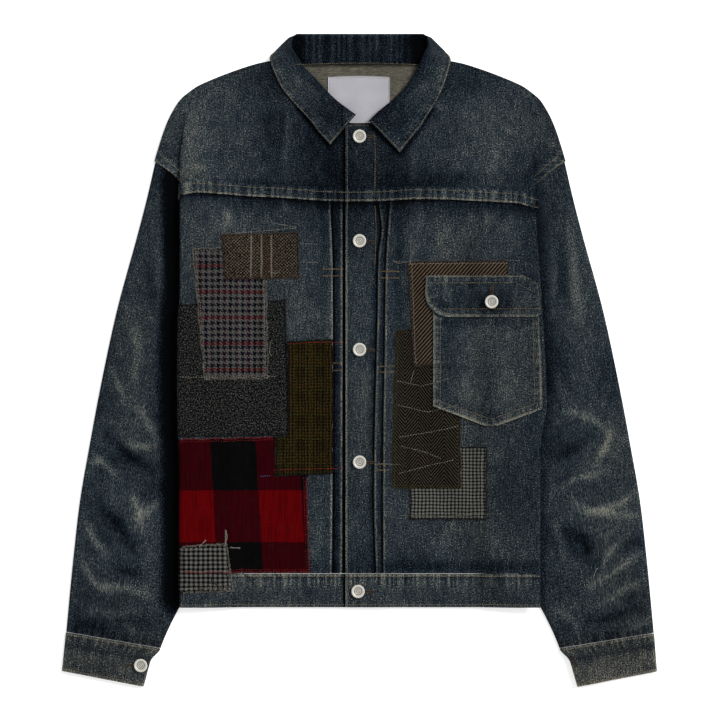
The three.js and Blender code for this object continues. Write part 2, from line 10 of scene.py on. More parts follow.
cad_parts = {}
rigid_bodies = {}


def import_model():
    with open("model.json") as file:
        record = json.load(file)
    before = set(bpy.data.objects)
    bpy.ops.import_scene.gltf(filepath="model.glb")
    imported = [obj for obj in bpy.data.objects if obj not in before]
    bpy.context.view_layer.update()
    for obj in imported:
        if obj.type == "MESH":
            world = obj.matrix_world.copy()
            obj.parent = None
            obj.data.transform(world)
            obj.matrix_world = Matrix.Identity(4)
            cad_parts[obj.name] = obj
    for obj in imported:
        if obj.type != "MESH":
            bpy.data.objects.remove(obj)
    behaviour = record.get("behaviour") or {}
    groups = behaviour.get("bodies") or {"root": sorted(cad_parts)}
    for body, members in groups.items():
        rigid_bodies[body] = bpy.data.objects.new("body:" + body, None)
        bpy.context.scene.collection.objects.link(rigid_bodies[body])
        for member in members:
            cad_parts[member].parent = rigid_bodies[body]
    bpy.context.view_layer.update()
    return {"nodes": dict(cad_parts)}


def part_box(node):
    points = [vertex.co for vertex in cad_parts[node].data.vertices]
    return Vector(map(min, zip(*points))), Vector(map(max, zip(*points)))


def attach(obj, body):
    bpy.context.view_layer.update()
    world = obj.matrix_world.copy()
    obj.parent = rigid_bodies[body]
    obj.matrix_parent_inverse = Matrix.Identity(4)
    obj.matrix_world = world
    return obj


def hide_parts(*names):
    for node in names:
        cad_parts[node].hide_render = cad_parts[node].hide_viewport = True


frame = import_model()
print("frame loaded,", len(frame["nodes"]), "nodes")

# The jacket's own measures are in millimetres, and its meshes are made in metres.
# x runs to the wearer's left, y from the hem to the collar, z up from the surface it lies on.
mm = 0.001
side = {"right": -1, "left": 1}

clothing = {
    "denim": 1.5, "doubled": 2.2, "wool": 1.0, "loose": 0.65,
    "sleeveHeight": 6.0, "headHeight": 3.7, "cuffHeight": 7.4, "overSleeve": 6.4,
    "frontOverBack": 2.6, "backTail": 2.6, "frontTail": 4.8, "sidePuff": 6.5, "capOverBack": 2.2,
    "overlapStep": 2.6, "neckLift": 3.2, "bandRise": 1.3,
}
seams = {"yoke": 184, "waist": -245.5, "hem": -284, "frontTop": 271, "neckBack": 340, "shoulderTip": 228}
frontEdge = {"left": -16.5, "right": -18}


def boxOf(node):  # a node's sides in millimetres: x from and to, y from and to, z from and to
    low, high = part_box(node)
    return [value for pair in zip(low, high) for value in (pair[0] / mm, pair[1] / mm)]


def smooth(t):
    t = np.clip(t, 0, 1)
    return t * t * (3 - 2 * t)


def mix(a, b, t):
    return a + (b - a) * t


def through(*pairs):  # a value that runs smoothly through (at, value) pairs
    at, value = (np.array(column, float) for column in zip(*pairs))
    last = len(at) - 1
    before, after = np.maximum(np.arange(last + 1) - 1, 0), np.minimum(np.arange(last + 1) + 1, last)
    slope = (value[after] - value[before]) / (at[after] - at[before])

    def curve(where):
        t = np.clip(np.asarray(where, float), at[0], at[-1])
        i = np.clip(np.searchsorted(at, t, side="right") - 1, 0, last - 1)
        h = at[i + 1] - at[i]
        u = (t - at[i]) / h
        rise, fall = 3 * u**2 - 2 * u**3, u**3 - u**2
        eased = slope[i] * h * (fall - u**2 + u) + slope[i + 1] * h * fall
        return mix(value[i], value[i + 1], rise) + eased

    return curve


def away(x, y, points):  # distance from a line through points, and the share of its length there
    best, share = np.full(np.shape(x), 1e9), np.zeros(np.shape(x))
    ends = np.array(points, float)
    lengths = np.hypot(*np.diff(ends, axis=0).T)
    run = 0.0
    for (ax, ay), (bx, by), length in zip(ends[:-1], ends[1:], lengths):
        t = np.clip(((x - ax) * (bx - ax) + (y - ay) * (by - ay)) / length**2, 0, 1)
        d = np.hypot(x - ax - t * (bx - ax), y - ay - t * (by - ay))
        share = np.where(d < best, (run + t * length) / lengths.sum(), share)
        best = np.minimum(best, d)
        run += length
    return best, share


def strokes(x, y, lines):  # the sum of soft lines, each (amount, width, points), fading at its ends
    total = np.zeros(np.shape(x))
    for amount, width, *points in lines:
        d, share = away(x, y, points)
        total += amount * np.exp(-((d / width) ** 2)) * np.sqrt(np.sin(np.pi * np.clip(share, 0.04, 0.96)))
    return total


def pools(x, y, spots):  # the sum of soft spots, each (amount, x, y, half width, half length)
    total = np.zeros(np.shape(x))
    for amount, cx, cy, rx, ry in spots:
        total += amount * np.exp(-(((x - cx) / rx) ** 2) - ((y - cy) / ry) ** 2)
    return total


def rolling(x, y, seed=0.0):  # cloth never lies quite flat: slow waves, from -1 to 1
    a = np.sin(x / 23 + 1.3 * np.sin(y / 61 + seed) + seed)
    b = np.sin(y / 37 + 1.1 * np.sin(x / 47 - seed) + 2 * seed)
    c = np.sin((x + 0.6 * y) / 14 + 1.7 * np.sin((y - x) / 53 + seed))
    return 0.45 * a + 0.35 * b + 0.2 * c


def puckered(run, d, seed=0.0):  # the little gathers beside a row of stitches, from -1 to 1
    wave = np.sin(run / 1.35 + 1.9 * np.sin(run / 4.7 + seed) + 1.4 * np.sin(run / 11 + 2 * seed))
    return wave * np.exp(-np.abs(d) / 6)


# The outlines, as widths from the middle of the jacket
foldAt = {
    "right": through((-284, 207), (-110, 207), (-80, 209.5), (40, 209.5), (75, 207), (209, 207), (240, 206),
                     (300, 198)),
    "left": through((-284, 207), (-161, 207), (-90, 208), (-55, 214), (11, 212), (98, 206.5), (138, 203.5),
                    (184, 201), (300, 196)),
}
foldTop = {"right": 292, "left": 250}
tuckAt = {
    "right": through((-284, 45), (-100, 55), (115, 57), (184, 40), (215, 22), (270, 6), (292, 0)),
    "left": through((-284, 45), (-100, 55), (115, 57), (184, 34), (209, 12), (250, 0)),
}
shoulderAt = through(
    (228, 235), (245, 230), (262, 224.5), (277, 218.5), (290, 211.5), (300, 204.5), (308, 195),
    (315.5, 184), (325.5, 161), (334, 138), (341, 115), (344, 100), (346, 90),
)
armholeAt = through((176, 176), (185, 184), (209, 207), (228, 235))
necklineAt = through((271, 9), (281, 28), (295, 50), (315, 70), (335, 82), (346, 84))
sleeveOuterAt = through(
    (-314, 337), (-276, 333.5), (-230, 329), (-161, 321), (-92, 309), (-46, 300.5), (23, 286.4), (69, 275.6),
    (138, 256.5), (184, 244.5), (227, 234.6),
)
sleeveInnerAt = through(
    (-331, 230), (-316, 224), (-299, 216), (-282, 207), (-240, 180), (-190, 155), (-130, 133), (-70, 115),
    (-10, 103), (40, 98), (80, 100),
)
sleeveHead = np.array([  # where the sleeve leaves the shoulder: the share across it, and its x and y
    (0, 234.8, 226.6), (0.2, 207.6, 208), (0.36, 201, 150), (0.55, 172, 136), (0.78, 136, 108), (1, 100, 80),
])
sleeveMouthAt = through((98, 80), (136, 108), (172, 136), (201, 150))
yokeEdgeAt = {  # the lower edge of the front yokes, from the middle outwards
    "right": through((18, 181.5), (46, 182.5), (92, 186), (126, 187.5), (160, 190), (184, 191.5), (198, 190),
                     (206, 187)),
    "left": through((-16, 181.5), (24, 182), (58, 184), (92, 184), (126, 182.5), (161, 180.5), (184, 178.5),
                    (200, 173)),
}


# Heights of the middle surfaces of the walls
def onSleeve(x, y):  # 0 to 1: how far the sleeve underneath lifts the body
    wide = np.abs(x)
    return smooth((wide - sleeveInnerAt(y) + 54) / 38) * smooth((sleeveMouthAt(wide) + 46 - y) / 32)


def onTuck(name, wide, y):  # 0 to 1: how far the folded side lifts the front
    end = foldAt[name](y) - tuckAt[name](y)
    return smooth((wide - end + 30) / 26) * smooth((foldTop[name] - y) / 75)


def backHeight(x, y):
    neck = smooth((y - 302) / 28) * smooth((150 - np.abs(x)) / 40)
    return clothing["denim"] / 2 + clothing["overSleeve"] * onSleeve(x, y) + clothing["neckLift"] * neck


# Each front's pleats: the folded edge at each length, its height and how wide it lies; facing says which way
pleats = {
    "right": [
        {"edge": through((-245, 33), (-140, 32), (110, 32), (178, 34.5)), "rise": 1.5, "lies": 11,
         "facing": 1},
        {"edge": through((-245, 21), (0, 20.5), (178, 20.5)), "rise": 1.0, "lies": 8, "facing": 1},
    ],
    "left": [
        {"edge": through((-247, 19), (-150, 16.5), (60, 20.7), (120, 21.8), (150, 25.3), (176, 22.4)),
         "rise": 1.6, "lies": 7, "facing": 1},
        {"edge": through((-247, 27), (-100, 27), (12, 28.8), (104, 30), (144, 32.2), (176, 34.5)),
         "rise": 1.5, "lies": 14, "facing": 1},
    ],
}


def pleated(name, wide, y):  # a folded edge stands up, with a narrow gap in front of it
    total = np.zeros(np.shape(wide))
    for pleat in pleats[name]:
        d = (wide - pleat["edge"](y)) * pleat["facing"]
        flap = smooth(d / 0.9) * (1 - smooth((d - 2.5) / pleat["lies"]))
        gap = -0.9 * smooth((d + 2.9) / 1.2) * (1 - smooth(d / 0.8))
        total += (pleat["rise"] * flap + gap) * smooth((yokeEdgeAt[name](wide) - 1 - y) / 6)
    return total


# Creases of the body and its yokes: (height, width, points)
bodyCreases = [
    (0.9, 5, (-86, 300), (-84, 262), (-88, 225), (-86, 205)),
    (-0.8, 5, (-95, 292), (-94, 250), (-98, 212)),
    (0.8, 6, (-50, 214), (-54, 236), (-46, 252)),
    (0.9, 7, (64, 262), (62, 225), (66, 196)),
    (-0.7, 6, (52, 250), (50, 212)),
    (0.7, 7, (121, 300), (116, 262), (118, 220)),
    (0.7, 7, (158, 292), (150, 250), (154, 215)),
    (0.8, 4, (-204, 225), (-186, 221), (-166, 222)),
    (0.7, 4, (-203, 211), (-186, 207), (-168, 210)),
    (-0.7, 4, (-204, 218), (-186, 214), (-170, 216)),
    (-0.9, 9, (-196, 290), (-201, 262), (-205, 225)),
    (0.8, 8, (-182, 296), (-189, 262), (-190, 230)),
    (-0.8, 9, (196, 262), (200, 236), (202, 212)),
    (0.7, 6, (-156, 176), (-152, 160), (-154, 140)),
    (0.6, 6, (-92, 178), (-86, 165), (-80, 150)),
    (0.6, 5, (-172, 172), (-166, 150)),
    (0.7, 6, (66, 178), (70, 162), (68, 140)),
    (0.7, 6, (142, 178), (146, 158), (143, 130)),
    (0.6, 8, (100, 176), (98, 140), (103, 118)),
    (0.8, 10, (54, 170), (52, 120), (50, 60)),
    (-0.7, 9, (182, 160), (186, 120)),
    (0.8, 12, (188, -100), (176, -150), (184, -205)),
    (-0.7, 12, (150, -186), (146, -214), (150, -238)),
    (0.7, 10, (122, -190), (118, -222)),
    (0.6, 8, (80, -196), (84, -230)),
    (-0.5, 8, (64, -205), (62, -236)),
    (0.7, 9, (-44, -150), (-46, -190), (-44, -232)),
    (0.8, 12, (-120, -150), (-128, -190), (-124, -230)),
    (-0.7, 12, (-168, -110), (-160, -160), (-166, -200)),
    (0.6, 10, (-150, -10), (-144, -50), (-150, -80)),
    (0.7, 14, (60, 60), (54, 0), (56, -60)),
    (0.7, 12, (-60, 90), (-62, 50)),
]


def creased(x, y):
    return strokes(x, y, bodyCreases) + 0.35 * rolling(x, y)


def alongYoke(name, wide, y):  # the yoke's seam: distance above its edge, and the gathers beside it
    d = y - yokeEdgeAt[name](wide)
    return d, puckered(wide, np.minimum(np.abs(d - 1), np.abs(d - 11)), seed=side[name])


def frontHeight(name, wide, y):
    lift = clothing["frontOverBack"] + clothing["sidePuff"] * onTuck(name, wide, y)
    panel = backHeight(wide, y) + lift + creased(side[name] * wide, y) * smooth((200 - wide) / 12)
    if name == "left":
        panel = panel + clothing["overlapStep"] * smooth((46 - wide) / 24)
    return panel


def panelHeight(name, wide, y):  # a front below its yoke
    d, gather = alongYoke(name, wide, y)
    band = 0.3 * gather * (d < 2) + 0.25 * puckered(wide, y - seams["waist"], 3.0)
    return frontHeight(name, wide, y) + pleated(name, wide, y) + band


# How faded the denim is, from 0, dark indigo, to 1, worn white; further on, painted shadows lower it in
# places. Here, spots and strokes over a base of 0.5
bodyFadeSpots = [
    (0.12, -176, 268, 46, 60), (0.10, -196, 250, 16, 60), (0.08, 176, 262, 40, 52), (0.08, 130, 240, 40, 50),
    (-0.24, -50, 232, 34, 70), (-0.26, -20, 200, 26, 60), (-0.20, 34, 220, 30, 60),
    (-0.16, -100, 262, 16, 42), (-0.15, -92, 330, 40, 26), (-0.14, 110, 325, 36, 24),
    (-0.12, 70, 205, 40, 16), (-0.12, -120, 200, 60, 9), (-0.14, 100, 207, 90, 8), (-0.14, 198, 210, 20, 22),
    (-0.12, -130, 176, 70, 7), (-0.12, 110, 172, 80, 8), (0.10, 95, 130, 40, 42), (0.08, 150, 150, 40, 40),
    (0.10, -140, 130, 60, 50), (0.08, -70, 60, 20, 70), (-0.10, 60, 176, 26, 60), (-0.08, 190, 130, 18, 60),
    (-0.10, 200, -40, 12, 120), (0.06, 130, -120, 60, 60), (-0.12, 170, -150, 22, 60),
    (0.08, 110, -200, 60, 22), (-0.14, 120, -236, 110, 7), (-0.10, 60, -235, 26, 14),
    (0.08, -46, -190, 14, 50), (-0.10, -30, -210, 8, 50), (0.05, 0, 60, 12, 120), (-0.08, 2, 160, 14, 34),
    (-0.12, 0, -222, 14, 22), (0.06, 0, -60, 12, 90),
]
bodyFadeStrokes = [
    (0.16, 4, (-85, 298), (-84, 262), (-88, 226), (-86, 204)), (0.14, 5, (62, 250), (60, 215), (63, 196)),
    (0.12, 4, (-45, 236), (-50, 220), (-44, 205)), (0.10, 6, (116, 250), (112, 215)),
    (0.10, 6, (152, 240), (150, 205)), (0.16, 3, (-204, 224), (-184, 221), (-166, 222)),
    (0.14, 3, (-203, 211), (-186, 207), (-168, 210)), (0.24, 5, (-156, 180), (-152, 164), (-154, 146)),
    (0.18, 4, (-88, 180), (-82, 168)), (0.14, 4, (-172, 176), (-166, 158)),
    (0.16, 5, (66, 178), (70, 166), (68, 148)), (0.14, 4, (142, 178), (146, 162), (143, 140)),
    (0.13, 8, (60, 176), (62, 130), (58, 90)), (0.10, 3, (-36, 150), (-36, 0), (-36, -150), (-36, -240)),
    (0.10, 8, (96, 160), (94, 120)), (0.08, 8, (176, 170), (178, 120)),
    (-0.10, 4, (-25, 160), (-25, 0), (-25, -240)), (-0.12, 7, (46, 178), (44, 120), (42, 40)),
    (0.12, 7, (100, -206), (92, -230)), (0.10, 8, (150, -206), (156, -232)),
    (0.12, 6, (122, 290), (118, 272)), (0.13, 5, (-30, 208), (-34, 192)),
]


def softBand(d, width=1.6):  # a soft band along a line: a seam's or a fold's rubbed edge, and elsewhere a painted shadow beside an edge
    return np.exp(-((d / width) ** 2))


def bodyFade(x, y):
    return 0.5 + pools(x, y, bodyFadeSpots) + strokes(x, y, bodyFadeStrokes)


def placketShadow(name, wide):  # painted shadow beside the placket's edge, on the right front that lies under it
    return 0.8 * softBand(wide - 18.3, 1.3) * (name == "right")


def panelFadeAndShade(name, wide, y):
    x = side[name] * wide
    fadeAndShade = bodyFade(x, y)
    for pleat in pleats[name]:
        d = (wide - pleat["edge"](y)) * pleat["facing"]
        # on each pleat, a rubbed light line along its folded edge, and painted shadow in the gap in front of
        # it
        fadeAndShade = fadeAndShade + 0.55 * softBand(d - 0.8, 1.0) - 1.0 * softBand(d + 1.4, 1.3) - 0.16 * softBand(d + 4, 3)
    d, gather = alongYoke(name, wide, y)
    # painted shadow on the front just under the yoke's edge, deepening the real one there; the gathers beside
    # the seam are rubbed lighter
    fadeAndShade = fadeAndShade - 0.5 * softBand(d + 1.0, 1.4) - 0.22 * softBand(d + 4, 5) + 0.14 * gather * (d < 0)
    fadeAndShade = fadeAndShade + 0.50 * softBand(wide - frontEdge[name] - 0.5, 1.1) - placketShadow(name, wide)
    return fadeAndShade + 0.12 * puckered(wide, y - seams["waist"], 3.0) - 0.10 * softBand(y - seams["waist"] - 6, 6)


# Meshes
def triangleVolume(points, faces):
    a, b, c = points[faces[:, 0]], points[faces[:, 1]], points[faces[:, 2]]
    return float(np.einsum("ij,ij->", a, np.cross(b, c)))


def meshObject(name, points, faces, finish, values=None):
    mesh = bpy.data.meshes.new(name)
    mesh.from_pydata((np.asarray(points) * mm).tolist(), [], [list(map(int, face)) for face in faces])
    mesh.polygons.foreach_set("use_smooth", [True] * len(mesh.polygons))
    for key, data in (values or {}).items():
        data = np.asarray(data, float)
        kind, slot = ("FLOAT", "value") if data.ndim == 1 else ("FLOAT_VECTOR", "vector")
        mesh.attributes.new(key, kind, "POINT").data.foreach_set(slot, data.ravel())
    mesh.update()
    piece = bpy.data.objects.new(name, mesh)
    piece.data.materials.append(finish)
    bpy.context.scene.collection.objects.link(piece)
    return piece


def gridFaces(rows, cols, around, start=0):
    ids = start + np.arange(rows * cols).reshape(rows, cols)
    if around:
        ids = np.hstack([ids, ids[:, :1]])
    quads = np.stack([ids[:-1, :-1], ids[:-1, 1:], ids[1:, 1:], ids[1:, :-1]], axis=-1)
    return quads.reshape(-1, 4), ids


def normals(middle, around):
    if around:
        across = np.roll(middle, -1, axis=1) - np.roll(middle, 1, axis=1)
    else:
        across = np.gradient(middle, axis=1)
    normal = np.cross(across, np.gradient(middle, axis=0))
    return normal / np.maximum(np.linalg.norm(normal, axis=-1, keepdims=True), 1e-9)


def shellParts(middle, thickness, around=False):  # points and faces of a closed wall round a middle surface
    rows, cols = middle.shape[:2]
    normal = normals(middle, around) * thickness / 2
    points = np.concatenate([(middle + normal).reshape(-1, 3), (middle - normal).reshape(-1, 3)])
    top, ids = gridFaces(rows, cols, around)
    count = rows * cols
    faces = [top, top[:, ::-1] + count]
    rims = [ids[0, ::-1], ids[-1]]
    if not around:
        rims += [ids[:, 0], ids[::-1, -1]]
    for rim in rims:
        faces.append(np.stack([rim[:-1], rim[:-1] + count, rim[1:] + count, rim[1:]], axis=-1))
    faces = np.concatenate(faces)
    if triangleVolume(points, faces[:, :3]) + triangleVolume(points, faces[:, [0, 2, 3]]) < 0:
        faces = faces[:, ::-1]
    return points, faces, normal


def shell(name, middle, thickness, finish, fadeAndShade, weave, around=False, wrongUp=False):
    # the first half of the grid's columns faces up, with the cloth's right side or its wrong side
    points, faces, normal = shellParts(middle, thickness, around)
    upFirst = np.mean(normal[:, : max(2, middle.shape[1] // 2), 2]) > 0
    reverse = (0, 1) if upFirst != wrongUp else (1, 0)
    count = middle.shape[0] * middle.shape[1]
    values = {
        "fadeAndShade": np.tile(np.ravel(fadeAndShade), 2),
        "weave": np.tile(weave.reshape(-1, 3), (2, 1)),
        "reverse": np.repeat(np.array(reverse, float), count),
    }
    return meshObject(name, points, faces, finish, values)


def finished(piece, node, slotName="denim"):
    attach(piece, "root")
    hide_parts(node)


def runs(middle):  # distances across and along a grid, in millimetres, for the weave
    across = np.cumsum(np.pad(np.linalg.norm(np.diff(middle, axis=1), axis=-1), ((0, 0), (1, 0))), axis=1)
    along = np.cumsum(np.pad(np.linalg.norm(np.diff(middle, axis=0), axis=-1), ((1, 0), (0, 0))), axis=0)
    return np.stack([across, along, np.zeros_like(across)], axis=-1)


def bodyRuns(middle):  # the same on the body, where the weave runs straight up and down from piece to piece
    across = runs(middle)[..., 0] + np.abs(middle[:, :1, 0])
    return np.stack([across, middle[..., 1], 0 * across], axis=-1)


def spaced(*stops):  # numbers from stops of (from, step), ending at the last one
    parts = [np.arange(a, b, step) for (a, step), (b, _) in zip(stops[:-1], stops[1:])]
    values = np.concatenate([*parts, [stops[-1][0]]])
    return values[np.concatenate([[True], np.diff(values) > 0.2])]


# Materials
class Value:  # a number worked out by Math nodes, written as ordinary arithmetic
    def __init__(self, tree, socket):
        self.tree, self.socket = tree, socket

    def maths(self, kind, *others):
        node = self.tree.nodes.new("ShaderNodeMath")
        node.operation = kind
        for socket, other in zip(node.inputs, (self, *others)):
            feed(self.tree, socket, other)
        return Value(self.tree, node.outputs[0])

    def __add__(self, other):
        return self.maths("ADD", other)

    def __sub__(self, other):
        return self.maths("SUBTRACT", other)

    def __mul__(self, other):
        return self.maths("MULTIPLY", other)

    def share(self, pitch):  # 0 to 1 along each repeat
        return self.maths("DIVIDE", pitch).maths("FRACT")

    def below(self, limit):
        return self.maths("LESS_THAN", limit)

    def either(self, other):
        return self.maths("MAXIMUM", other)

    def eased(self, low, high):  # 0 below low, 1 above high
        node = self.tree.nodes.new("ShaderNodeMapRange")
        node.interpolation_type = "SMOOTHSTEP"
        feed(self.tree, node.inputs["Value"], self)
        feed(self.tree, node.inputs["From Min"], low)
        feed(self.tree, node.inputs["From Max"], high)
        return Value(self.tree, node.outputs["Result"])


def feed(tree, socket, value):
    if isinstance(value, Value):
        tree.links.new(value.socket, socket)
    else:
        socket.default_value = value


class Finish:  # a procedural material for cloth, thread or metal
    def __init__(self, name, roughness=0.9, specular=0.12, sheen=0.0, metallic=0.0):
        self.material = bpy.data.materials.new(name)
        self.material.use_nodes = True
        self.tree = self.material.node_tree
        self.shader = self.tree.nodes["Principled BSDF"]
        self.shader.inputs["Roughness"].default_value = roughness
        self.shader.inputs["Specular IOR Level"].default_value = specular
        self.shader.inputs["Sheen Weight"].default_value = sheen
        self.shader.inputs["Metallic"].default_value = metallic

    def node(self, kind, **inputs):
        node = self.tree.nodes.new(kind)
        for key, value in inputs.items():
            feed(self.tree, node.inputs[key], value)
        return node

    def attribute(self, name, output="Fac"):
        node = self.node("ShaderNodeAttribute")
        node.attribute_name = name
        return Value(self.tree, node.outputs[output])

    def place(self):  # object coordinates
        return Value(self.tree, self.node("ShaderNodeTexCoord").outputs["Object"])

    def stretched(self, vector, x, y, z=1.0, turn=0.0):
        node = self.node("ShaderNodeMapping", Vector=vector, Scale=(x, y, z), Rotation=(0, 0, turn))
        return Value(self.tree, node.outputs["Vector"])

    def parts(self, vector):
        node = self.node("ShaderNodeSeparateXYZ", Vector=vector)
        return [Value(self.tree, node.outputs[i]) for i in range(3)]

    def noise(self, vector, scale, detail=2.0, rough=0.5):
        node = self.node("ShaderNodeTexNoise", Vector=vector, Scale=scale, Detail=detail, Roughness=rough)
        return Value(self.tree, node.outputs["Fac"])

    def ramp(self, value, *stops):
        node = self.node("ShaderNodeValToRGB", Fac=value)
        elements = node.color_ramp.elements
        while len(elements) < len(stops):
            elements.new(0.5)
        for element, (at, colour) in zip(elements, stops):
            element.position = at
            element.color = (*colour, 1)
        return Value(self.tree, node.outputs["Color"])

    def blend(self, share, a, b):
        node = self.node("ShaderNodeMix")
        node.data_type = "RGBA"
        feed(self.tree, node.inputs[0], share)
        for socket, colour in ((node.inputs[6], a), (node.inputs[7], b)):
            feed(self.tree, socket, colour if isinstance(colour, Value) else (*colour, 1))
        return Value(self.tree, node.outputs[2])

    def done(self, colour, height=None, depth=0.0003):
        feed(self.tree, self.shader.inputs["Base Color"], colour)
        if height is not None:
            bump = self.node("ShaderNodeBump", Height=height, Distance=depth)
            self.tree.links.new(bump.outputs["Normal"], self.shader.inputs["Normal"])
        return self.material


denimLook = {
    "speckle": 2.6, "slub": 0.8, "mottle": 0.4, "cloud": 0.26, "darker": 0.08,  # how each varies the fade
    "indigo": [(0.0, (0.0002, 0.0004, 0.0008)), (0.07, (0.0013, 0.0027, 0.0055)),
               (0.25, (0.0045, 0.0088, 0.0150)), (0.5, (0.0165, 0.0245, 0.0315)),
               (0.68, (0.0345, 0.046, 0.0525)), (0.84, (0.074, 0.086, 0.083)), (1.0, (0.185, 0.182, 0.148))],
    "soiled": [(0.0, (0.0003, 0.0004, 0.0006)), (0.07, (0.0025, 0.0029, 0.0040)),
               (0.25, (0.0080, 0.0088, 0.0105)), (0.5, (0.0250, 0.0245, 0.0225)),
               (0.68, (0.050, 0.046, 0.038)), (0.84, (0.098, 0.088, 0.066)), (1.0, (0.21, 0.185, 0.135))],
    "wrongSide": [(0.2, (0.022, 0.021, 0.017)), (0.5, (0.085, 0.08, 0.062)), (0.85, (0.17, 0.16, 0.125))],
}


def denimFinish():
    look = denimLook
    cloth = Finish("washed denim", roughness=0.95, specular=0.05)
    weave = cloth.attribute("weave", "Vector")
    place = cloth.place()
    speckle = cloth.noise(cloth.stretched(weave, 0.82, 0.64), 1.0, 2, 0.65)
    slub = cloth.noise(cloth.stretched(weave, 0.75, 0.07), 1.0, 2, 0.6)
    mottle = cloth.noise(cloth.stretched(place, 110, 75, 110), 1.0, 3, 0.6)
    cloud = cloth.noise(cloth.stretched(place, 22, 16, 22), 1.0, 2)
    varied = (speckle - 0.5) * look["speckle"] + (slub - 0.5) * look["slub"]
    varied = varied + (mottle - 0.5) * look["mottle"] + (cloud - 0.5) * look["cloud"]
    fadeAndShade = cloth.attribute("fadeAndShade") + varied - look["darker"]
    across, along, _ = cloth.parts(weave)
    twill = (across * 0.9 + along * 1.0).share(1.25).maths("PINGPONG", 0.5)
    fadeAndShade = fadeAndShade + (twill - 0.25) * 0.16
    _, up, _ = cloth.parts(place)
    down = up * -1.0
    soiled = cloth.noise(cloth.stretched(place, 9, 6, 9), 1.0, 2).eased(0.46, 0.66) * 0.18
    soiled = soiled + down.eased(0.310, 0.332) * 0.3 + down.eased(0.243, 0.249) * 0.12
    right = cloth.blend(soiled, cloth.ramp(fadeAndShade, *look["indigo"]), cloth.ramp(fadeAndShade, *look["soiled"]))
    wrong = cloth.ramp(cloth.attribute("fadeAndShade") + varied * 0.9, *look["wrongSide"])
    colour = cloth.blend(cloth.attribute("reverse"), right, wrong)
    return cloth.done(colour, speckle * 0.7 + twill * 0.5 + slub * 0.5, 0.00045)


denim = denimFinish()
print("denim made")


# The body
def frontSections(name, lengths, thickness, tail, rise, height, underYoke=False):
    fold = foldAt[name](lengths)[:, None] - thickness / 2
    y = lengths[:, None]
    widths = spaced((frontEdge[name], 0.8), (40, 0.8), (52, 2.3), (176, 2.3), (176, 1))[None]
    outer = mix(176, fold - 6, np.linspace(0, 1, 14)[None, 1:])
    wide = np.concatenate([np.repeat(widths, len(lengths), 0), outer], axis=1)
    z = height(wide, y) + rise
    topZ, lowZ = z[:, -1:], backHeight(fold - 6, y) + tail
    turn = np.linspace(0, np.pi, 13)[None]
    radius = (topZ - lowZ) / 2
    roundX = fold - radius + radius * np.sin(turn)
    roundZ = (topZ + lowZ) / 2 + radius * np.cos(turn)
    tails = mix(fold - 7, foldAt[name](y) - tuckAt[name](y), np.linspace(0, 1, 9)[None])
    xs = np.concatenate([wide, roundX, tails], axis=1)
    zs = np.concatenate([z, roundZ, backHeight(tails, y) + tail], axis=1)
    ys = np.repeat(y, xs.shape[1], 1)
    if underYoke:  # the upper end follows the yoke's edge, under which it goes
        start = lengths[0]
        ys = ys + smooth((ys - 120) / (start - 120)) * (yokeEdgeAt[name](xs) + 6 - start)
    return np.stack([side[name] * xs, ys, zs], axis=-1)


def bandHeight(name):
    def height(wide, y):
        wave = puckered(wide * 1.7, np.zeros_like(y), 5.0) * smooth((y - seams["hem"] - 10) / 22)
        edge = 0.5 * softBand(y - seams["hem"] - 2, 3) - 0.3 * softBand(y - seams["hem"] - 7, 3)
        return frontHeight(name, wide, y) + 0.4 * wave + edge
    return height


def bandFade(wide, y, seed):
    ripple = puckered(wide * 1.3, 0 * y, seed) * 0.55 + 0.45 * puckered(wide * 2.9, 0 * y, seed + 1)
    top = smooth((y - seams["hem"] - 14) / 18)
    fadeAndShade = 0.53 + 0.14 * top + 0.30 * ripple * top + 0.42 * softBand(y - seams["waist"] + 1.2, 1.3)
    fadeAndShade = fadeAndShade + 0.22 * softBand(y - seams["hem"], 1.8) - 0.14 * softBand(y - seams["waist"] + 4.5, 2.5)
    return fadeAndShade + 0.08 * puckered(wide * 2.2, y - seams["hem"] - 4, seed + 2)


bodyRows = np.linspace(seams["yoke"], seams["waist"] + 0.3, 140)
for name in ("right", "left"):
    grid = frontSections(name, bodyRows, clothing["denim"], clothing["frontTail"], 0,
                         lambda wide, y: panelHeight(name, wide, y), underYoke=True)
    fadeAndShade = panelFadeAndShade(name, np.abs(grid[..., 0]) if name == "right" else grid[..., 0], grid[..., 1])
    front = shell("front_cloth_" + name, grid, clothing["denim"], denim, fadeAndShade, bodyRuns(grid))
    finished(front, "front_" + name)
    bandRows = np.linspace(seams["waist"] - 0.3, seams["hem"], 24)
    grid = frontSections(name, bandRows, clothing["doubled"], 5.7, clothing["bandRise"], bandHeight(name))
    wide = np.abs(grid[..., 0]) if name == "right" else grid[..., 0]
    fadeAndShade = bandFade(wide, grid[..., 1], 2.0 * side[name]) - placketShadow(name, wide)
    fadeAndShade = fadeAndShade + 0.45 * softBand(wide - frontEdge[name] - 0.4, 1.1)
    band = shell("waistband_cloth_" + name, grid, clothing["doubled"], denim, fadeAndShade, runs(grid))
    finished(band, "waistband_" + name)
print("fronts made")


def curved(points, count):  # rows of sections through control points: (rows, points, 2) to (rows, count, 2)
    last = points.shape[1] - 1
    at = np.linspace(0, last, count)
    i = np.clip(at.astype(int), 0, last - 1)
    t = (at - i)[None, :, None]
    a, b = points[:, np.maximum(i - 1, 0)], points[:, i]
    c, d = points[:, i + 1], points[:, np.minimum(i + 2, last)]
    return 0.5 * (2 * b + (c - a) * t + (2 * a - 5 * b + 4 * c - d) * t**2 + (3 * b - a - 3 * c + d) * t**3)


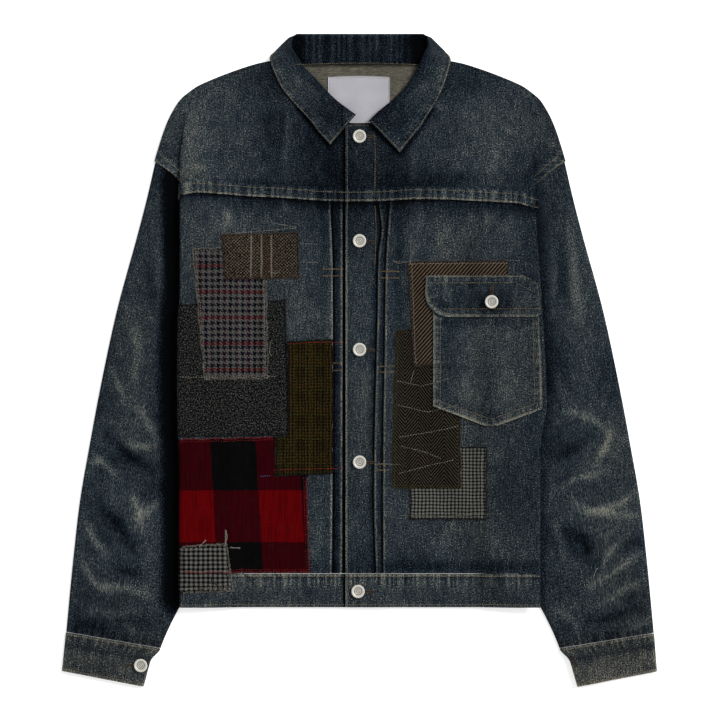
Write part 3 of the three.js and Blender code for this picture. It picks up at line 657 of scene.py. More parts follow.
def yokeSections(name, lengths):
    y = lengths[:, None]
    outer = np.where(y > seams["shoulderTip"], shoulderAt(y), armholeAt(y))
    flatFold = np.minimum(foldAt[name](np.minimum(y, foldTop[name])), outer - 9)
    fold = mix(flatFold, foldAt[name](y), smooth((seams["shoulderTip"] - y) / 20)) - clothing["denim"] / 2
    folded = smooth((foldTop[name] - y) / 40)
    tuck = tuckAt[name](y)
    inner = np.where(y > seams["frontTop"], necklineAt(y), frontEdge[name])
    wide = mix(inner, fold - 6, np.linspace(0, 1, 104)[None])
    d, gather = alongYoke(name, wide, y)
    lap = 1.7 * (1 - smooth((d - 12) / 14)) * smooth((206 - wide) / 5)
    bump = 0.5 * softBand(d - 1, 1.4) + 0.3 * gather * smooth((d - 1) / 2) - 0.35 * softBand(d - 12.5, 1.4)
    z = frontHeight(name, wide, y) + lap + bump
    top, low = z[:, -1:], backHeight(fold, y) + clothing["capOverBack"]
    turn = [(-3, -0.9, 0.1), (-1.5, 0, 0.3), (0, -1.2, 0.5), (1, -np.maximum(3, tuck), 0.55),
            (2, -np.maximum(4.6, tuck + 1.6), 0.8), (3.4, -np.maximum(3, tuck), 1)]
    bends = []
    for flat, bent, down in turn:
        bends.append(np.concatenate([fold + mix(flat, bent, folded), mix(top, low, down)], axis=1))
    start = bends[-1][:, :1]
    cap = mix(start, outer + 1.5, np.linspace(0, 1, 5)[None, 1:])
    lapped = np.array([0, 0.2, 1.0, 1.5])[None] * (y < seams["shoulderTip"] + 12)
    capZ = backHeight(cap, y) + clothing["capOverBack"] + lapped
    bends += [np.stack([cap[:, i], capZ[:, i]], axis=1) for i in range(4)]
    curve = curved(np.stack([np.stack([wide[:, -1], z[:, -1]], axis=1), *bends], axis=1), 60)[:, 1:]
    xs = np.concatenate([wide, curve[..., 0]], axis=1)
    zs = np.concatenate([z, curve[..., 1]], axis=1)
    ys = np.repeat(y, xs.shape[1], 1)
    # the lower end follows the yoke's edge
    reach = smooth((240 - ys) / (240 - lengths[-1]))
    edge = yokeEdgeAt[name](np.minimum(xs, 206)) + 0.8
    underside = smooth((14 - np.arange(curve.shape[1]))[None] / 8) + 0 * curve[..., 0]
    onTop = np.concatenate([np.ones_like(wide), underside], axis=1)
    ys = ys + reach * (edge - lengths[-1]) * onTop
    return np.stack([side[name] * xs, ys, zs], axis=-1)


collarLeaf = {  # sections from the leaf's front end to the neck: a place on its fold and one on its edge
    "right": [
        ((-4.6, 281.8), (-34.5, 247.3)), ((-17.3, 291), (-46, 259.9)), ((-28.8, 300.2), (-57.5, 274.9)),
        ((-40.3, 311.7), (-69, 287.5)), ((-51.8, 324.3), (-80.5, 300.2)), ((-63.3, 335.8), (-91, 313.8)),
        ((-70, 346), (-99, 331)), ((-76, 355), (-103.8, 346.8)), ((-78.5, 362), (-97, 355.6)),
        ((-76, 372.5), (-82, 370.6)),
    ],
    "left": [
        ((10.4, 274.9), (46, 238.1)), ((20.7, 285.2), (57.5, 253)), ((32.2, 294.4), (69, 266.8)),
        ((41.4, 302.5), (80.5, 285.2)), ((51.8, 312.8), (90, 301.3)), ((61, 326), (97.5, 318.5)),
        ((68, 341), (103, 337)), ((74.6, 355), (103.8, 346.8)), ((77.5, 362), (97, 355.6)),
        ((76, 372.5), (82, 370.6)),
    ],
}


def yokeFadeAndShade(name, x, y, capped):
    wide = np.abs(x) if name == "right" else x
    d, gather = alongYoke(name, wide, y)
    fadeAndShade = bodyFade(x, y) + 0.55 * softBand(d - 1.0, 1.2) + 0.10 * softBand(d - 6, 3.5) + 0.32 * gather * (d < 14)
    fadeAndShade = fadeAndShade + 0.14 * softBand(d - 13, 2) - 0.10 * softBand(d - 16, 3)
    edge = np.where(y < seams["frontTop"], wide - frontEdge[name], 99)
    fadeAndShade = fadeAndShade + 0.50 * softBand(edge - 0.5, 1.1) - placketShadow(name, edge + frontEdge[name])
    # painted shadow of the collar leaf on the yoke, along the leaf's edge
    leaf, _ = away(x, y, [collarLeaf[name][0][0], *[outer for _, outer in collarLeaf[name]]])
    fadeAndShade = fadeAndShade - 0.45 * softBand(leaf, 4.0) * (y < 290)
    seam, _ = away(wide, y, armholeSeam)
    rubbed = 0.30 * softBand(seam - 1.0, 1.6) + 0.16 * softBand(seam - 9, 3) + 0.16 * puckered(y * 1.3, seam - 6, 1.0)
    return fadeAndShade + np.where(capped, rubbed, 0)


armholeSeam = [(184, 185), (192, 191), (209, 207), (222, 219), (235, 228)]
for name in ("right", "left"):
    grid = yokeSections(name, np.concatenate([np.linspace(346, 271.4, 28), np.linspace(270.6, 184, 38)]))
    capped = np.arange(grid.shape[1])[None] > 120
    fadeAndShade = yokeFadeAndShade(name, grid[..., 0], grid[..., 1], capped)
    # painted shade where the cloth turns under the fold
    deep = softBand(np.arange(grid.shape[1]) - 134, 12.0)[None] * smooth((foldTop[name] - grid[..., 1]) / 40)
    yoke = shell("shoulder_cloth_" + name, grid, clothing["denim"], denim, fadeAndShade - 0.5 * deep, bodyRuns(grid))
    finished(yoke, "front_yoke_" + name)
print("yokes made")


# The back lies underneath: flat in the middle, over the sleeves at its sides, folded over to the side seams
def backSections(lengths, thickness, rise, tail):
    y = lengths[:, None]
    halves = []
    for name in ("right", "left"):
        reach = mix(3, tuckAt[name](y) - 9, smooth((130 - y) / 28))
        edge = mix(armholeAt(y), foldAt[name](y) - 9, smooth((seams["yoke"] - y) / 30)) - thickness / 2
        wide = (edge - 4) * np.linspace(0, 1, 34)[None]
        low = backHeight(edge - 4, y)
        radius = (tail - rise) / 2
        turn = np.linspace(0, np.pi, 9)[None]
        roundX = edge - radius + radius * np.sin(turn)
        roundZ = low + rise + radius - radius * np.cos(turn)
        tails = edge - radius - reach * np.linspace(0.1, 1, 6)[None]
        xs = np.concatenate([wide, roundX, tails], axis=1)
        zs = np.concatenate([backHeight(wide, y) + rise, roundZ, backHeight(tails, y) + tail], axis=1)
        halves.append(np.stack([side[name] * xs, np.repeat(y, xs.shape[1], 1), zs], axis=-1))
    return np.concatenate([halves[0][:, ::-1], halves[1][:, 1:]], axis=1)


def plainFade(grid, seed=0.0):
    return 0.5 + 0.07 * rolling(grid[..., 0], grid[..., 1], seed)


backRows = np.linspace(seams["yoke"] - 0.3, seams["waist"] + 0.3, 58)
grid = backSections(backRows, clothing["denim"], 0, clothing["backTail"])
fadeAndShade = plainFade(grid) + 0.25 * softBand(grid[..., 1] - 184, 4)
back = shell("back_cloth", grid, clothing["denim"], denim, fadeAndShade, runs(grid), wrongUp=True)
finished(back, "back_panel")

grid = backSections(np.linspace(seams["waist"] - 0.3, seams["hem"], 16), clothing["doubled"], 0.35, 3.0)
fadeAndShade = plainFade(grid, 2.0) + 0.3 * softBand(grid[..., 1] - seams["hem"], 2)
fadeAndShade = fadeAndShade + 0.3 * softBand(grid[..., 1] - seams["waist"], 2)
backBand = shell("waistband_cloth_back", grid, clothing["doubled"], denim, fadeAndShade, runs(grid), wrongUp=True)
finished(backBand, "waistband_back")

yokeRows, yokeCols = np.linspace(seams["neckBack"], seams["yoke"], 36), 130
outer = np.where(yokeRows > seams["shoulderTip"], shoulderAt(yokeRows), armholeAt(yokeRows))
xs = outer[:, None] * np.linspace(-1, 1, yokeCols)[None]
ys = np.repeat(yokeRows[:, None], yokeCols, 1)
grid = np.stack([xs, ys, backHeight(xs, ys) + 0.25 * rolling(xs, ys) * smooth((ys - 260) / 20)], axis=-1)
fadeAndShade = 0.5 - 0.5 * softBand(ys - 341, 3) + 0.10 * pools(xs, ys, [(1, 0, 300, 60, 30)])
backYoke = shell("back_yoke_cloth", grid, clothing["denim"], denim, fadeAndShade, bodyRuns(grid), wrongUp=True)
finished(backYoke, "back_yoke")
print("back made")


# Sleeves, flattened tubes with their creases: (height, width, points), in widths on their own side
sleeveCreases = {
    "right": [
        (1.3, 5, (286, -8), (278, -26), (270, -52)), (1.2, 6, (262, -44), (247, -68), (232, -92)),
        (1.3, 6, (230, -98), (246, -100), (268, -98)), (1.2, 5, (306, -106), (292, -122), (278, -136)),
        (1.0, 5, (312, -118), (296, -116)), (-1.2, 7, (292, -86), (262, -112), (238, -128)),
        (1.2, 6, (264, -152), (254, -172), (250, -196)), (1.0, 7, (228, -160), (244, -176), (262, -182)),
        (1.2, 6, (318, -180), (308, -202), (290, -226)), (-1.2, 8, (300, -164), (276, -190), (262, -214)),
        (1.2, 6, (322, -232), (306, -256), (282, -272)), (1.1, 6, (300, -258), (266, -262), (236, -274)),
        (-1.1, 8, (280, -240), (250, -246)), (0.9, 7, (318, -284), (284, -292), (252, -288)),
        (-0.8, 8, (326, -300), (290, -308)), (0.8, 6, (268, -300), (258, -318)),
        (0.7, 8, (262, 60), (256, 10), (260, -40)), (0.7, 8, (232, 170), (228, 110), (226, 60)),
        (-0.6, 9, (246, 120), (240, 60)),
    ],
    "left": [
        (1.2, 6, (236, -60), (264, -66), (290, -84)), (1.3, 6, (290, -78), (282, -100), (270, -122)),
        (-1.2, 8, (262, -90), (238, -108), (220, -110)), (1.2, 6, (224, -150), (250, -136), (284, -130)),
        (1.2, 6, (318, -152), (296, -166), (262, -176)),
        (1.2, 6, (244, -160), (262, -174), (298, -178), (318, -180)),
        (-1.2, 9, (236, -196), (258, -206), (262, -226)), (1.1, 6, (222, -186), (230, -206), (236, -232)),
        (1.2, 6, (322, -222), (298, -240), (262, -262)), (-1.0, 8, (326, -206), (300, -214)),
        (1.1, 6, (326, -254), (304, -262), (276, -282)), (1.1, 6, (300, -206), (286, -222), (276, -246)),
        (0.9, 6, (224, -288), (246, -300), (254, -316)), (-1.0, 7, (320, -286), (290, -296), (262, -300)),
        (0.9, 6, (330, -300), (304, -312)), (0.7, 8, (222, 150), (224, 100), (220, 50)),
        (0.8, 8, (240, 160), (246, 100), (254, 40)), (-0.7, 9, (230, 130), (234, 70)),
        (0.8, 7, (228, -20), (234, -46)),
    ],
}
sleeveFadeSpots = {
    "right": [
        (0.08, 250, 60, 30, 120), (-0.10, 226, 10, 16, 160), (-0.12, 300, -50, 30, 26),
        (-0.16, 272, -118, 26, 16), (-0.18, 285, -196, 20, 20), (-0.14, 240, -150, 16, 14),
        (0.08, 272, -80, 30, 26), (0.08, 254, -190, 20, 40), (-0.20, 290, -300, 44, 20),
        (-0.14, 316, -262, 14, 12), (0.10, 300, -230, 26, 16), (-0.10, 262, -220, 12, 16),
        (-0.14, 246, -300, 16, 16), (-0.14, 236, 205, 20, 14), (-0.08, 290, 30, 16, 60),
    ],
    "left": [
        (-0.16, 208, 170, 22, 30), (0.10, 250, 60, 22, 110), (-0.16, 216, 110, 14, 70),
        (-0.12, 222, 20, 22, 50), (-0.16, 220, -10, 26, 40), (-0.12, 290, -20, 20, 40),
        (-0.18, 224, -92, 20, 18), (-0.2, 238, -140, 26, 10), (-0.22, 240, -206, 26, 18),
        (-0.2, 262, -222, 24, 14), (0.10, 290, -100, 26, 30), (-0.16, 280, -240, 26, 10),
        (-0.18, 310, -270, 16, 12), (-0.16, 236, -262, 16, 14), (-0.22, 250, -306, 30, 12),
        (0.08, 300, -186, 30, 16), (0.06, 262, -56, 26, 12), (0.09, 286, -200, 44, 90),
        (0.03, 262, 60, 40, 100),
    ],
}


def sleeveFadeAndShade(name, wide, y):
    whiskers = [(0.28 * height, width * 0.74, *points) for height, width, *points in sleeveCreases[name]]
    fadeAndShade = 0.5 + strokes(wide, y, whiskers) + 0.75 * pools(wide, y, sleeveFadeSpots[name])
    # painted shadow beside the body's folded side, deepening the real shadow that falls there: strong on the
    # right sleeve, faint on the left
    beside = wide - foldAt[name](np.clip(y, seams["hem"], 180))
    depth = 0.85 if name == "right" else 0.2
    foldShadow = smooth((27 - beside) / 17) if name == "right" else smooth((12 - beside) / 12)
    return fadeAndShade - depth * foldShadow * smooth((y + 300) / 30)


def headAt(u):
    return np.interp(u, sleeveHead[:, 0], sleeveHead[:, 1]), np.interp(u, sleeveHead[:, 0], sleeveHead[:, 2])


cuffAt = {  # each cuff's corners: outer and inner at its seam, then outer and inner at its end
    "right": [(-337, -312.8), (-230, -331.2), (-341.6, -357.1), (-249.6, -374.9)],
    "left": [(337, -314), (230, -331.2), (340.4, -357.7), (250.7, -374.9)],
}
acrossCount = 74
across = (1 - np.cos(np.linspace(0, np.pi, acrossCount))) / 2  # closer together at the folded edges
across = mix(across, np.linspace(0, 1, acrossCount), 0.55)
ringU = np.concatenate([across, across[-2:0:-1]])
ringTop = np.concatenate([np.ones(acrossCount), -np.ones(acrossCount - 2)])
ringRound = np.sqrt(np.clip(1 - np.abs(2 * ringU - 1) ** 14, 0, 1))


def tubeGrid(place, shares, heightAt, inset, topExtra, raiseAt=None):
    u, t = np.meshgrid(ringU, shares)
    x, y = place(u, t)
    half = (heightAt(t) - inset) / 2
    z = heightAt(t) / 2 + ringTop[None] * ringRound[None] * half
    z = z + np.where(ringTop[None] > 0, topExtra(np.abs(x), y, u, t), 0) * ringRound[None]
    if raiseAt:
        z = z + raiseAt(u, t)
    return np.stack([x, y, z], axis=-1)


def sleevePlace(name):
    topOuter, topInner = cuffAt[name][0][1] + 0.3, cuffAt[name][1][1] + 0.3

    def straight(u, t):
        yOuter, yInner = mix(226.6, topOuter, t), mix(80, topInner, t)
        return mix(sleeveOuterAt(yOuter), sleeveInnerAt(yInner), u), mix(yOuter, yInner, u)

    def place(u, t):
        headX, headY = headAt(u)
        bodyX, bodyY = straight(u, np.maximum(t, 0))
        startX, startY = straight(u, 0 * t)
        share = 1 - smooth(t / 0.3)
        # the end goes on a little way under the shoulder, and further beside the armhole
        inside = np.minimum(t, 0) * (520 + 1300 * smooth((u - 0.05) / 0.12) * smooth((0.5 - u) / 0.12))
        x = bodyX + (headX - startX) * share + 0.7 * inside
        y = bodyY + (headY - startY) * share - 0.7 * inside
        return side[name] * x, y

    return place


def sleeveHeightAt(t):
    thinned = 1.6 * smooth(-t / 0.006)
    return mix(clothing["headHeight"], clothing["sleeveHeight"], smooth(t / 0.12)) - thinned


def overYoke(u, t):  # the end that goes under the shoulder lies on the back yoke
    return 1.5 * smooth(-t / 0.008)


sleeveRows = np.concatenate([[-0.025, -0.018, -0.010, -0.005], np.linspace(0, 1, 138)])
for name in ("right", "left"):
    def sleeveTop(wide, y, u, t, name=name):
        folds = 0.5 * strokes(wide, y, sleeveCreases[name]) + 0.4 * rolling(wide, y, 1 + side[name])
        cuffEnd = 0.5 * puckered(u * 110, (1 - t) * 400, 2.0)
        under = smooth((wide - foldAt[name](np.clip(y, seams["hem"], 180)) - 1) / 12)
        clear = np.where(y < seams["hem"], 1, under)
        return (folds * clear + cuffEnd) * smooth((t - 0.01) / 0.05)

    grid = tubeGrid(sleevePlace(name), sleeveRows, sleeveHeightAt, clothing["denim"], sleeveTop, overYoke)
    u, t = np.meshgrid(ringU, sleeveRows)
    fadeAndShade = sleeveFadeAndShade(name, np.abs(grid[..., 0]), grid[..., 1])
    fadeAndShade = fadeAndShade + 0.18 * puckered(u * 110, (1 - t) * 300, 2.0) - 0.14 * softBand((1 - t) * 400 - 3, 6)
    fadeAndShade = np.where(ringTop[None] > 0, fadeAndShade, 0.5 + 0.06 * rolling(grid[..., 0], grid[..., 1]))
    sleeve = shell("sleeve_cloth_" + name, grid, clothing["denim"], denim, fadeAndShade, runs(grid), around=True)
    finished(sleeve, "sleeve_" + name)


def cuffPlace(name):
    topOuter, topInner, endOuter, endInner = cuffAt[name]

    def place(u, t):
        narrowed = 4 * smooth(t / 0.35) * u * side[name] * (1 - t) * 2
        xs = mix(mix(topOuter[0], topInner[0], u), mix(endOuter[0], endInner[0], u), t) + narrowed
        ys = mix(mix(topOuter[1], topInner[1], u), mix(endOuter[1], endInner[1], u), t) - 0.3
        return xs, ys

    return place


cuffLook = {"long": 42, "wide": 105, "rows": 26}
for name in ("right", "left"):
    def cuffTop(wide, y, u, t):
        long = cuffLook["long"]
        ends = 0.5 * softBand((t - 0.05) * long, 1.5) + 0.5 * softBand((t - 0.98) * long, 1.5)
        ends = ends - 0.4 * softBand((t - 0.17) * long, 1.8)
        slit = -0.9 * softBand((u - 0.9) * 90, 1.2) * smooth((t - 0.02) / 0.1) if name == "left" else 0
        return ends + 0.35 * puckered(u * 95, (t - 0.1) * long, 4.0) + 0.4 * rolling(wide, y, 5.0) + slit

    def raiseAt(u, t, name=name):
        return 3.6 * smooth((u - 0.5) / 0.3) * smooth(t / 0.35) if name == "left" else 0 * u

    cuffRows = np.linspace(0, 1, cuffLook["rows"])
    grid = tubeGrid(cuffPlace(name), cuffRows, lambda t: 0 * t + clothing["cuffHeight"],
                    clothing["doubled"], cuffTop, raiseAt)
    u, t = np.meshgrid(ringU, cuffRows)
    long, wide = cuffLook["long"], cuffLook["wide"]
    fadeAndShade = 0.56 + 0.28 * softBand((t - 0.02) * long, 1.6) + 0.26 * softBand((t - 1) * long, 1.8)
    fadeAndShade = fadeAndShade - 0.14 * softBand((t - 0.3) * long, 3)
    fadeAndShade = fadeAndShade + 0.14 * puckered(u * 95, (t - 0.1) * 30, 4.0)
    fadeAndShade = fadeAndShade + {"left": 0.12, "right": 0.04}[name] * smooth((t - 0.3) / 0.3)
    fadeAndShade = fadeAndShade + 0.3 * softBand(u * wide, 1.8) + 0.25 * softBand((1 - u) * wide, 1.8)
    cuff = shell("cuff_cloth_" + name, grid, clothing["doubled"], denim, fadeAndShade, runs(grid), around=True)
    finished(cuff, "cuff_" + name)
print("sleeves and cuffs made")


# The collar: a stand behind the neck, and two leaves turned down over the fronts
collarLook = {"wide": 46, "long": 128, "body": 4.8, "edge": 2.2, "rows": 64, "ring": 97, "over": (33, 54),
              "faded": 84}
collarPath = [  # round a leaf: up round its fold, out over the top, round its edge and back underneath
    (0.10, 0.0), (0.03, 0.12), (0, 0.45), (0.02, 0.8), (0.08, 0.97), (0.2, 1.0), (0.5, 0.97), (0.8, 0.96),
    (0.94, 1), (0.985, 0.9), (1, 0.5), (0.985, 0.1), (0.9, 0), (0.5, 0), (0.25, 0),
]


def leafGrid(name):
    ends = np.array(collarLeaf[name], float)
    ends = curved(ends.reshape(1, -1, 4), collarLook["rows"])[0]
    t = np.linspace(0, 1, collarLook["rows"])[:, None]
    path = np.array([*collarPath, collarPath[0]], float)
    ring = np.linspace(0, len(path) - 1, collarLook["ring"])[:-1]
    u, h = (np.interp(ring, np.arange(len(path)), path[:, k])[None] for k in (0, 1))
    over = np.linspace(0.2, 0.94, 46)[None]  # more points over the top, where the creases are
    start, end = collarLook["over"]
    u = np.concatenate([u[:, :start], over, u[:, end:]], axis=1)
    overTop = np.interp(over, (0.2, 0.5, 0.8, 0.94), (1.0, 0.97, 0.96, 1))
    h = np.concatenate([h[:, :start], overTop, h[:, end:]], axis=1)
    x, y = mix(ends[:, :1], ends[:, 2:3], u), mix(ends[:, 1:2], ends[:, 3:], u)
    crossed = np.where(x > -20, frontHeight("left", x, np.minimum(y, 345)), 0)
    own = frontHeight(name, np.abs(x), np.minimum(y, 345))
    low = np.maximum(own, crossed) + clothing["denim"] / 2 + 2 * clothing["loose"]
    past = smooth((y - 346) / 10) * smooth((u - 0.05) / 0.5)
    low = mix(low, 3.0, past)
    body = mix(collarLook["body"], collarLook["edge"], smooth((u - 0.3) / 0.7))
    high = low + body - 0.8 * smooth((y - 350) / 20)
    run = t * collarLook["long"]
    top = smooth((h - 0.8) / 0.17)
    crease = 0.4 * puckered(run * 0.8, (1 - u) * 40 - 3, 1 + side[name])
    crease = crease - 0.45 * softBand((1 - u) * collarLook["wide"] - 5.5, 1.6)
    wave = 0.5 * rolling(x * 1.6, y * 1.4, side[name]) + 0.5 * np.sin(run / 17 + u * 3) * u
    z = mix(low, high, h) + (crease + wave * 0.6) * top
    return np.stack([x, y, z], axis=-1), u + 0 * x, np.broadcast_to(run, x.shape)


def collarFade(name, u, run, top, y):
    wide = collarLook["wide"]
    inwards = (1 - u) * wide
    fadeAndShade = {"right": 0.47, "left": 0.42}[name] + 0.46 * softBand(inwards - 0.3, 1.3) + 0.2 * softBand(run, 1.8)
    fadeAndShade = fadeAndShade + 0.13 * softBand(inwards - 9, 5)
    fadeAndShade = fadeAndShade + 0.12 * puckered(run * 0.8, (1 - u) * 40 - 3, 1 + side[name])
    fadeAndShade = fadeAndShade + 0.10 * rolling(run * 2, u * 60, 2.0) - 0.14 * softBand(u * wide - 2, 7)
    fadeAndShade = fadeAndShade + pools(run, u * wide, [(0.14, 60, 22, 24, 10), (-0.1, 20, 20, 14, 14)])
    return np.where(top, fadeAndShade + 0.06 * smooth((y - 310) / 40), 0.3)


def closedLoft(grid):  # points and faces of a solid through rings, closed at its two ends
    rows, around = grid.shape[:2]
    quads, ids = gridFaces(rows, around, True)
    points = grid.reshape(-1, 3)
    middles = np.stack([grid[0].mean(0), grid[-1].mean(0)])
    caps = []
    for ring, centre in ((ids[0][::-1], len(points)), (ids[-1], len(points) + 1)):
        caps += [[a, b, centre, centre] for a, b in zip(ring[:-1], ring[1:])]
    faces = np.concatenate([quads, np.array(caps)])
    points = np.concatenate([points, middles])
    if triangleVolume(points, faces[:, :3]) + triangleVolume(points, faces[:, [0, 2, 3]]) < 0:
        faces = faces[:, ::-1]
    return points, faces


def plainFaces(faces):  # quads whose last two corners are the same are triangles
    kept = []
    for face in faces.tolist():
        corners = [corner for i, corner in enumerate(face) if corner not in face[:i]]
        kept.append(corners)
    return kept


def standGrid():  # behind the neck: from its seam up to the top fold, round it, and down behind
    x = np.linspace(-79, 79, 130)[None]
    profile = np.array([(334, 1.0), (334, 3.0), (339, 3.4), (341, 5.0), (352, 5.2), (364, 5.6), (371, 5.2),
                        (374.4, 3.6), (374.8, 2.0), (372, 0.6), (360, 0.15), (342, 0.15)], float)
    profile = curved(np.array([*profile, profile[0]])[None], 73)[0][:-1]
    y = np.repeat(profile[:, :1], 130, 1)
    top = smooth((profile[:, 1:] - 3) / 1.5)
    y = y - 3.5 * smooth((np.abs(x) - 72) / 7) * smooth((y - 355) / 15)
    z = profile[:, 1:] + top * (0.35 * puckered(x, y - 345, 2.0) + 0.3 * rolling(x * 1.5, y, 1.0))
    return np.stack([x + 0 * y, y, np.maximum(z, 0.1)], axis=-1), top


parts, fadesAndShades, weaves = [], [], []
for name in ("right", "left"):
    grid, u, run = leafGrid(name)
    top = (np.arange(grid.shape[1])[None] < collarLook["faded"]) & (grid[..., 2] > 0)
    fadeAndShade = collarFade(name, u, run, top, grid[..., 1])
    parts.append(closedLoft(grid))
    fadesAndShades.append(np.concatenate([fadeAndShade.ravel(), [0.5, 0.5]]))
    weave = np.stack([u * collarLook["wide"], run, 0 * u], axis=-1).reshape(-1, 3)
    weaves.append(np.concatenate([weave, weave[:2]]))
grid, top = standGrid()
streaks = 0.12 * puckered(grid[..., 0] * 0.9, 0 * grid[..., 1], 4.0)
streaks = streaks + 0.10 * rolling(grid[..., 0] * 2, grid[..., 1], 0.5)
fadeAndShade = 0.29 + streaks + 0.35 * softBand(grid[..., 1] - 374.5, 1.4) + 0.16 * softBand(grid[..., 1] - 338, 1.5)
# painted shadow at the stand's ends, where it runs under the leaves, deeper at the wearer's left end
fadeAndShade = fadeAndShade - 0.35 * smooth((np.abs(grid[..., 0] - 2) - 52) / 20) - 0.4 * smooth((grid[..., 0] - 40) / 30)
parts.append(closedLoft(np.swapaxes(grid, 0, 1)))
fadesAndShades.append(np.concatenate([np.swapaxes(fadeAndShade, 0, 1).ravel(), [0.3, 0.3]]))
weave = np.swapaxes(runs(grid)[..., [1, 0, 2]], 0, 1).reshape(-1, 3)[:, [1, 0, 2]]
weaves.append(np.concatenate([weave, weave[:2]]))
points, faces, start = [], [], 0
for partPoints, partFaces in parts:
    points.append(partPoints)
    faces += plainFaces(partFaces + start)
    start += len(partPoints)
count = sum(map(len, points))
collar = meshObject("collar_cloth", np.concatenate(points), faces, denim, {
    "fadeAndShade": np.concatenate(fadesAndShades), "weave": np.concatenate(weaves), "reverse": np.zeros(count)})
finished(collar, "collar")
print("collar made")


# The label inside the neck, a bare woven tape
def labelFinish():
    tape = Finish("label tape", roughness=0.8, specular=0.2)
    place = tape.place()
    grain = tape.noise(tape.stretched(place, 900, 2600, 900), 1.0, 2)
    soft = tape.noise(place, 30, 2)
    shade = grain * 0.35 + soft * 0.65
    colour = tape.ramp(shade, (0.25, (0.33, 0.326, 0.355)), (0.75, (0.43, 0.426, 0.455)))
    return tape.done(colour, grain, 0.0001)


x0, x1, y0, y1, _, _ = boxOf("neck_label")
xs, ys = np.meshgrid(np.linspace(x0, x1, 40), np.linspace(y1, y0, 34))
ys = ys - 1.4 * ((xs - (x0 + x1) / 2) / (x1 - x0) * 2) ** 2 * smooth((ys - y1 + 14) / 14)
zs = backHeight(xs, ys) + 1.35 + 0.25 * rolling(xs, ys) + 0.3 * smooth((ys - 260) / 20)
grid = np.stack([xs, ys, zs], axis=-1)
label = shell("label_cloth", grid, 0.5, labelFinish(), 0 * xs, runs(grid))
finished(label, "neck_label", "label_tape")
(x1 - x0) * mm
(y1 - y0) * mm
print("label made")


# Wool patches. Each pattern is charted in the patch's own measure, in millimetres from its lower left corner
def wool(name, pattern, deep, nap=0.35):
    cloth = Finish(name, roughness=1.0, specular=0.02)
    weave = cloth.attribute("weave", "Vector")
    place = cloth.place()
    drift = cloth.noise(cloth.stretched(place, 60, 60, 60), 1.0, 2) - 0.5
    x, y, _ = cloth.parts(weave)
    x, y = x + drift * 2.4, y + drift * 2.0
    fuzz = cloth.noise(cloth.stretched(weave, 0.72, 0.72), 1.0, 3, 0.75)
    colour = pattern(cloth, x, y, fuzz)
    dust = (cloth.noise(place, 90, 3) - 0.5).eased(0.05, 0.3) * 0.05
    dusty = cloth.blend(dust, colour, (0.11, 0.10, 0.085))
    # darker towards the patch's edge
    edgeDarkening = cloth.attribute("fadeAndShade")
    edged = cloth.blend(edgeDarkening * 0.8, dusty, (0.012, 0.011, 0.010))
    thread = (x + y).share(1.7).maths("PINGPONG", 0.5)
    return cloth.done(cloth.blend(deep, (0, 0, 0), edged), fuzz * nap * 3 + thread * 0.5, 0.0005)


def twilled(x, y, pitch, floats=2.0, size=4.0):  # 1 where the warp lies on top in a twill
    i, j = x.maths("DIVIDE", pitch).maths("FLOOR"), y.maths("DIVIDE", pitch).maths("FLOOR")
    return (i + j + 400.0).maths("MODULO", size).below(floats)


def houndstooth(cloth, x, y, fuzz):
    pitch = 0.87
    darkWarp, darkWeft = x.share(8 * pitch).below(0.5), y.share(8 * pitch).below(0.5)
    redWarp, redWeft = (x + 19.0).share(26.5).below(0.15), (y + 20.5).share(29.7).below(0.13)
    oliveWarp = (x + 5.0).share(26.5).below(0.14)
    pale, navy = (0.34, 0.33, 0.32), (0.006, 0.010, 0.024)
    warp = cloth.blend(redWarp * 0.5, cloth.blend(darkWarp, pale, navy), (0.16, 0.03, 0.03))
    warp = cloth.blend(oliveWarp * 0.7, warp, (0.09, 0.075, 0.035))
    weft = cloth.blend(redWeft, cloth.blend(darkWeft, pale, navy), (0.26, 0.020, 0.025))
    woven = cloth.blend(twilled(x, y, pitch), weft, warp)
    return cloth.blend(fuzz.eased(0.46, 0.60) * 0.45, woven, (0.02, 0.02, 0.024))


def brownStripe(cloth, x, y, fuzz):
    weave = cloth.attribute("weave", "Vector")
    chance = cloth.noise(cloth.stretched(weave, 0.5, 0.5), 1.0, 1, 0.6).eased(0.40, 0.56)
    fleck = twilled(x, y, 1.9, 1.0, 2.0) * (chance * 0.85 + 0.15)
    base = cloth.blend(fleck, (0.012, 0.0095, 0.007), (0.56, 0.45, 0.33))
    line = (x - 33.5).maths("ABSOLUTE").below(0.9)
    line = line.either((x - 45.5).maths("ABSOLUTE").below(0.9))
    line = line.either((x - 57.0).maths("ABSOLUTE").below(0.9))
    dash = line * y.share(2.3).below(0.62)
    rust = (x - 51.0).maths("ABSOLUTE").below(5.0)
    return cloth.blend(dash, cloth.blend(rust * 0.35, base, (0.10, 0.045, 0.025)), (0.95, 0.82, 0.64))


def charcoalTweed(cloth, x, y, fuzz):
    fine = cloth.noise(cloth.stretched(cloth.attribute("weave", "Vector"), 0.62, 0.62), 1.0, 2, 0.8)
    salt = (fine * 0.65 + fuzz * 0.35).eased(0.51, 0.60)
    base = cloth.blend(salt, (0.011, 0.0125, 0.0135), (0.42, 0.425, 0.40))
    return cloth.blend(fine.eased(0.47, 0.40) * 0.7, base, (0.005, 0.006, 0.007))


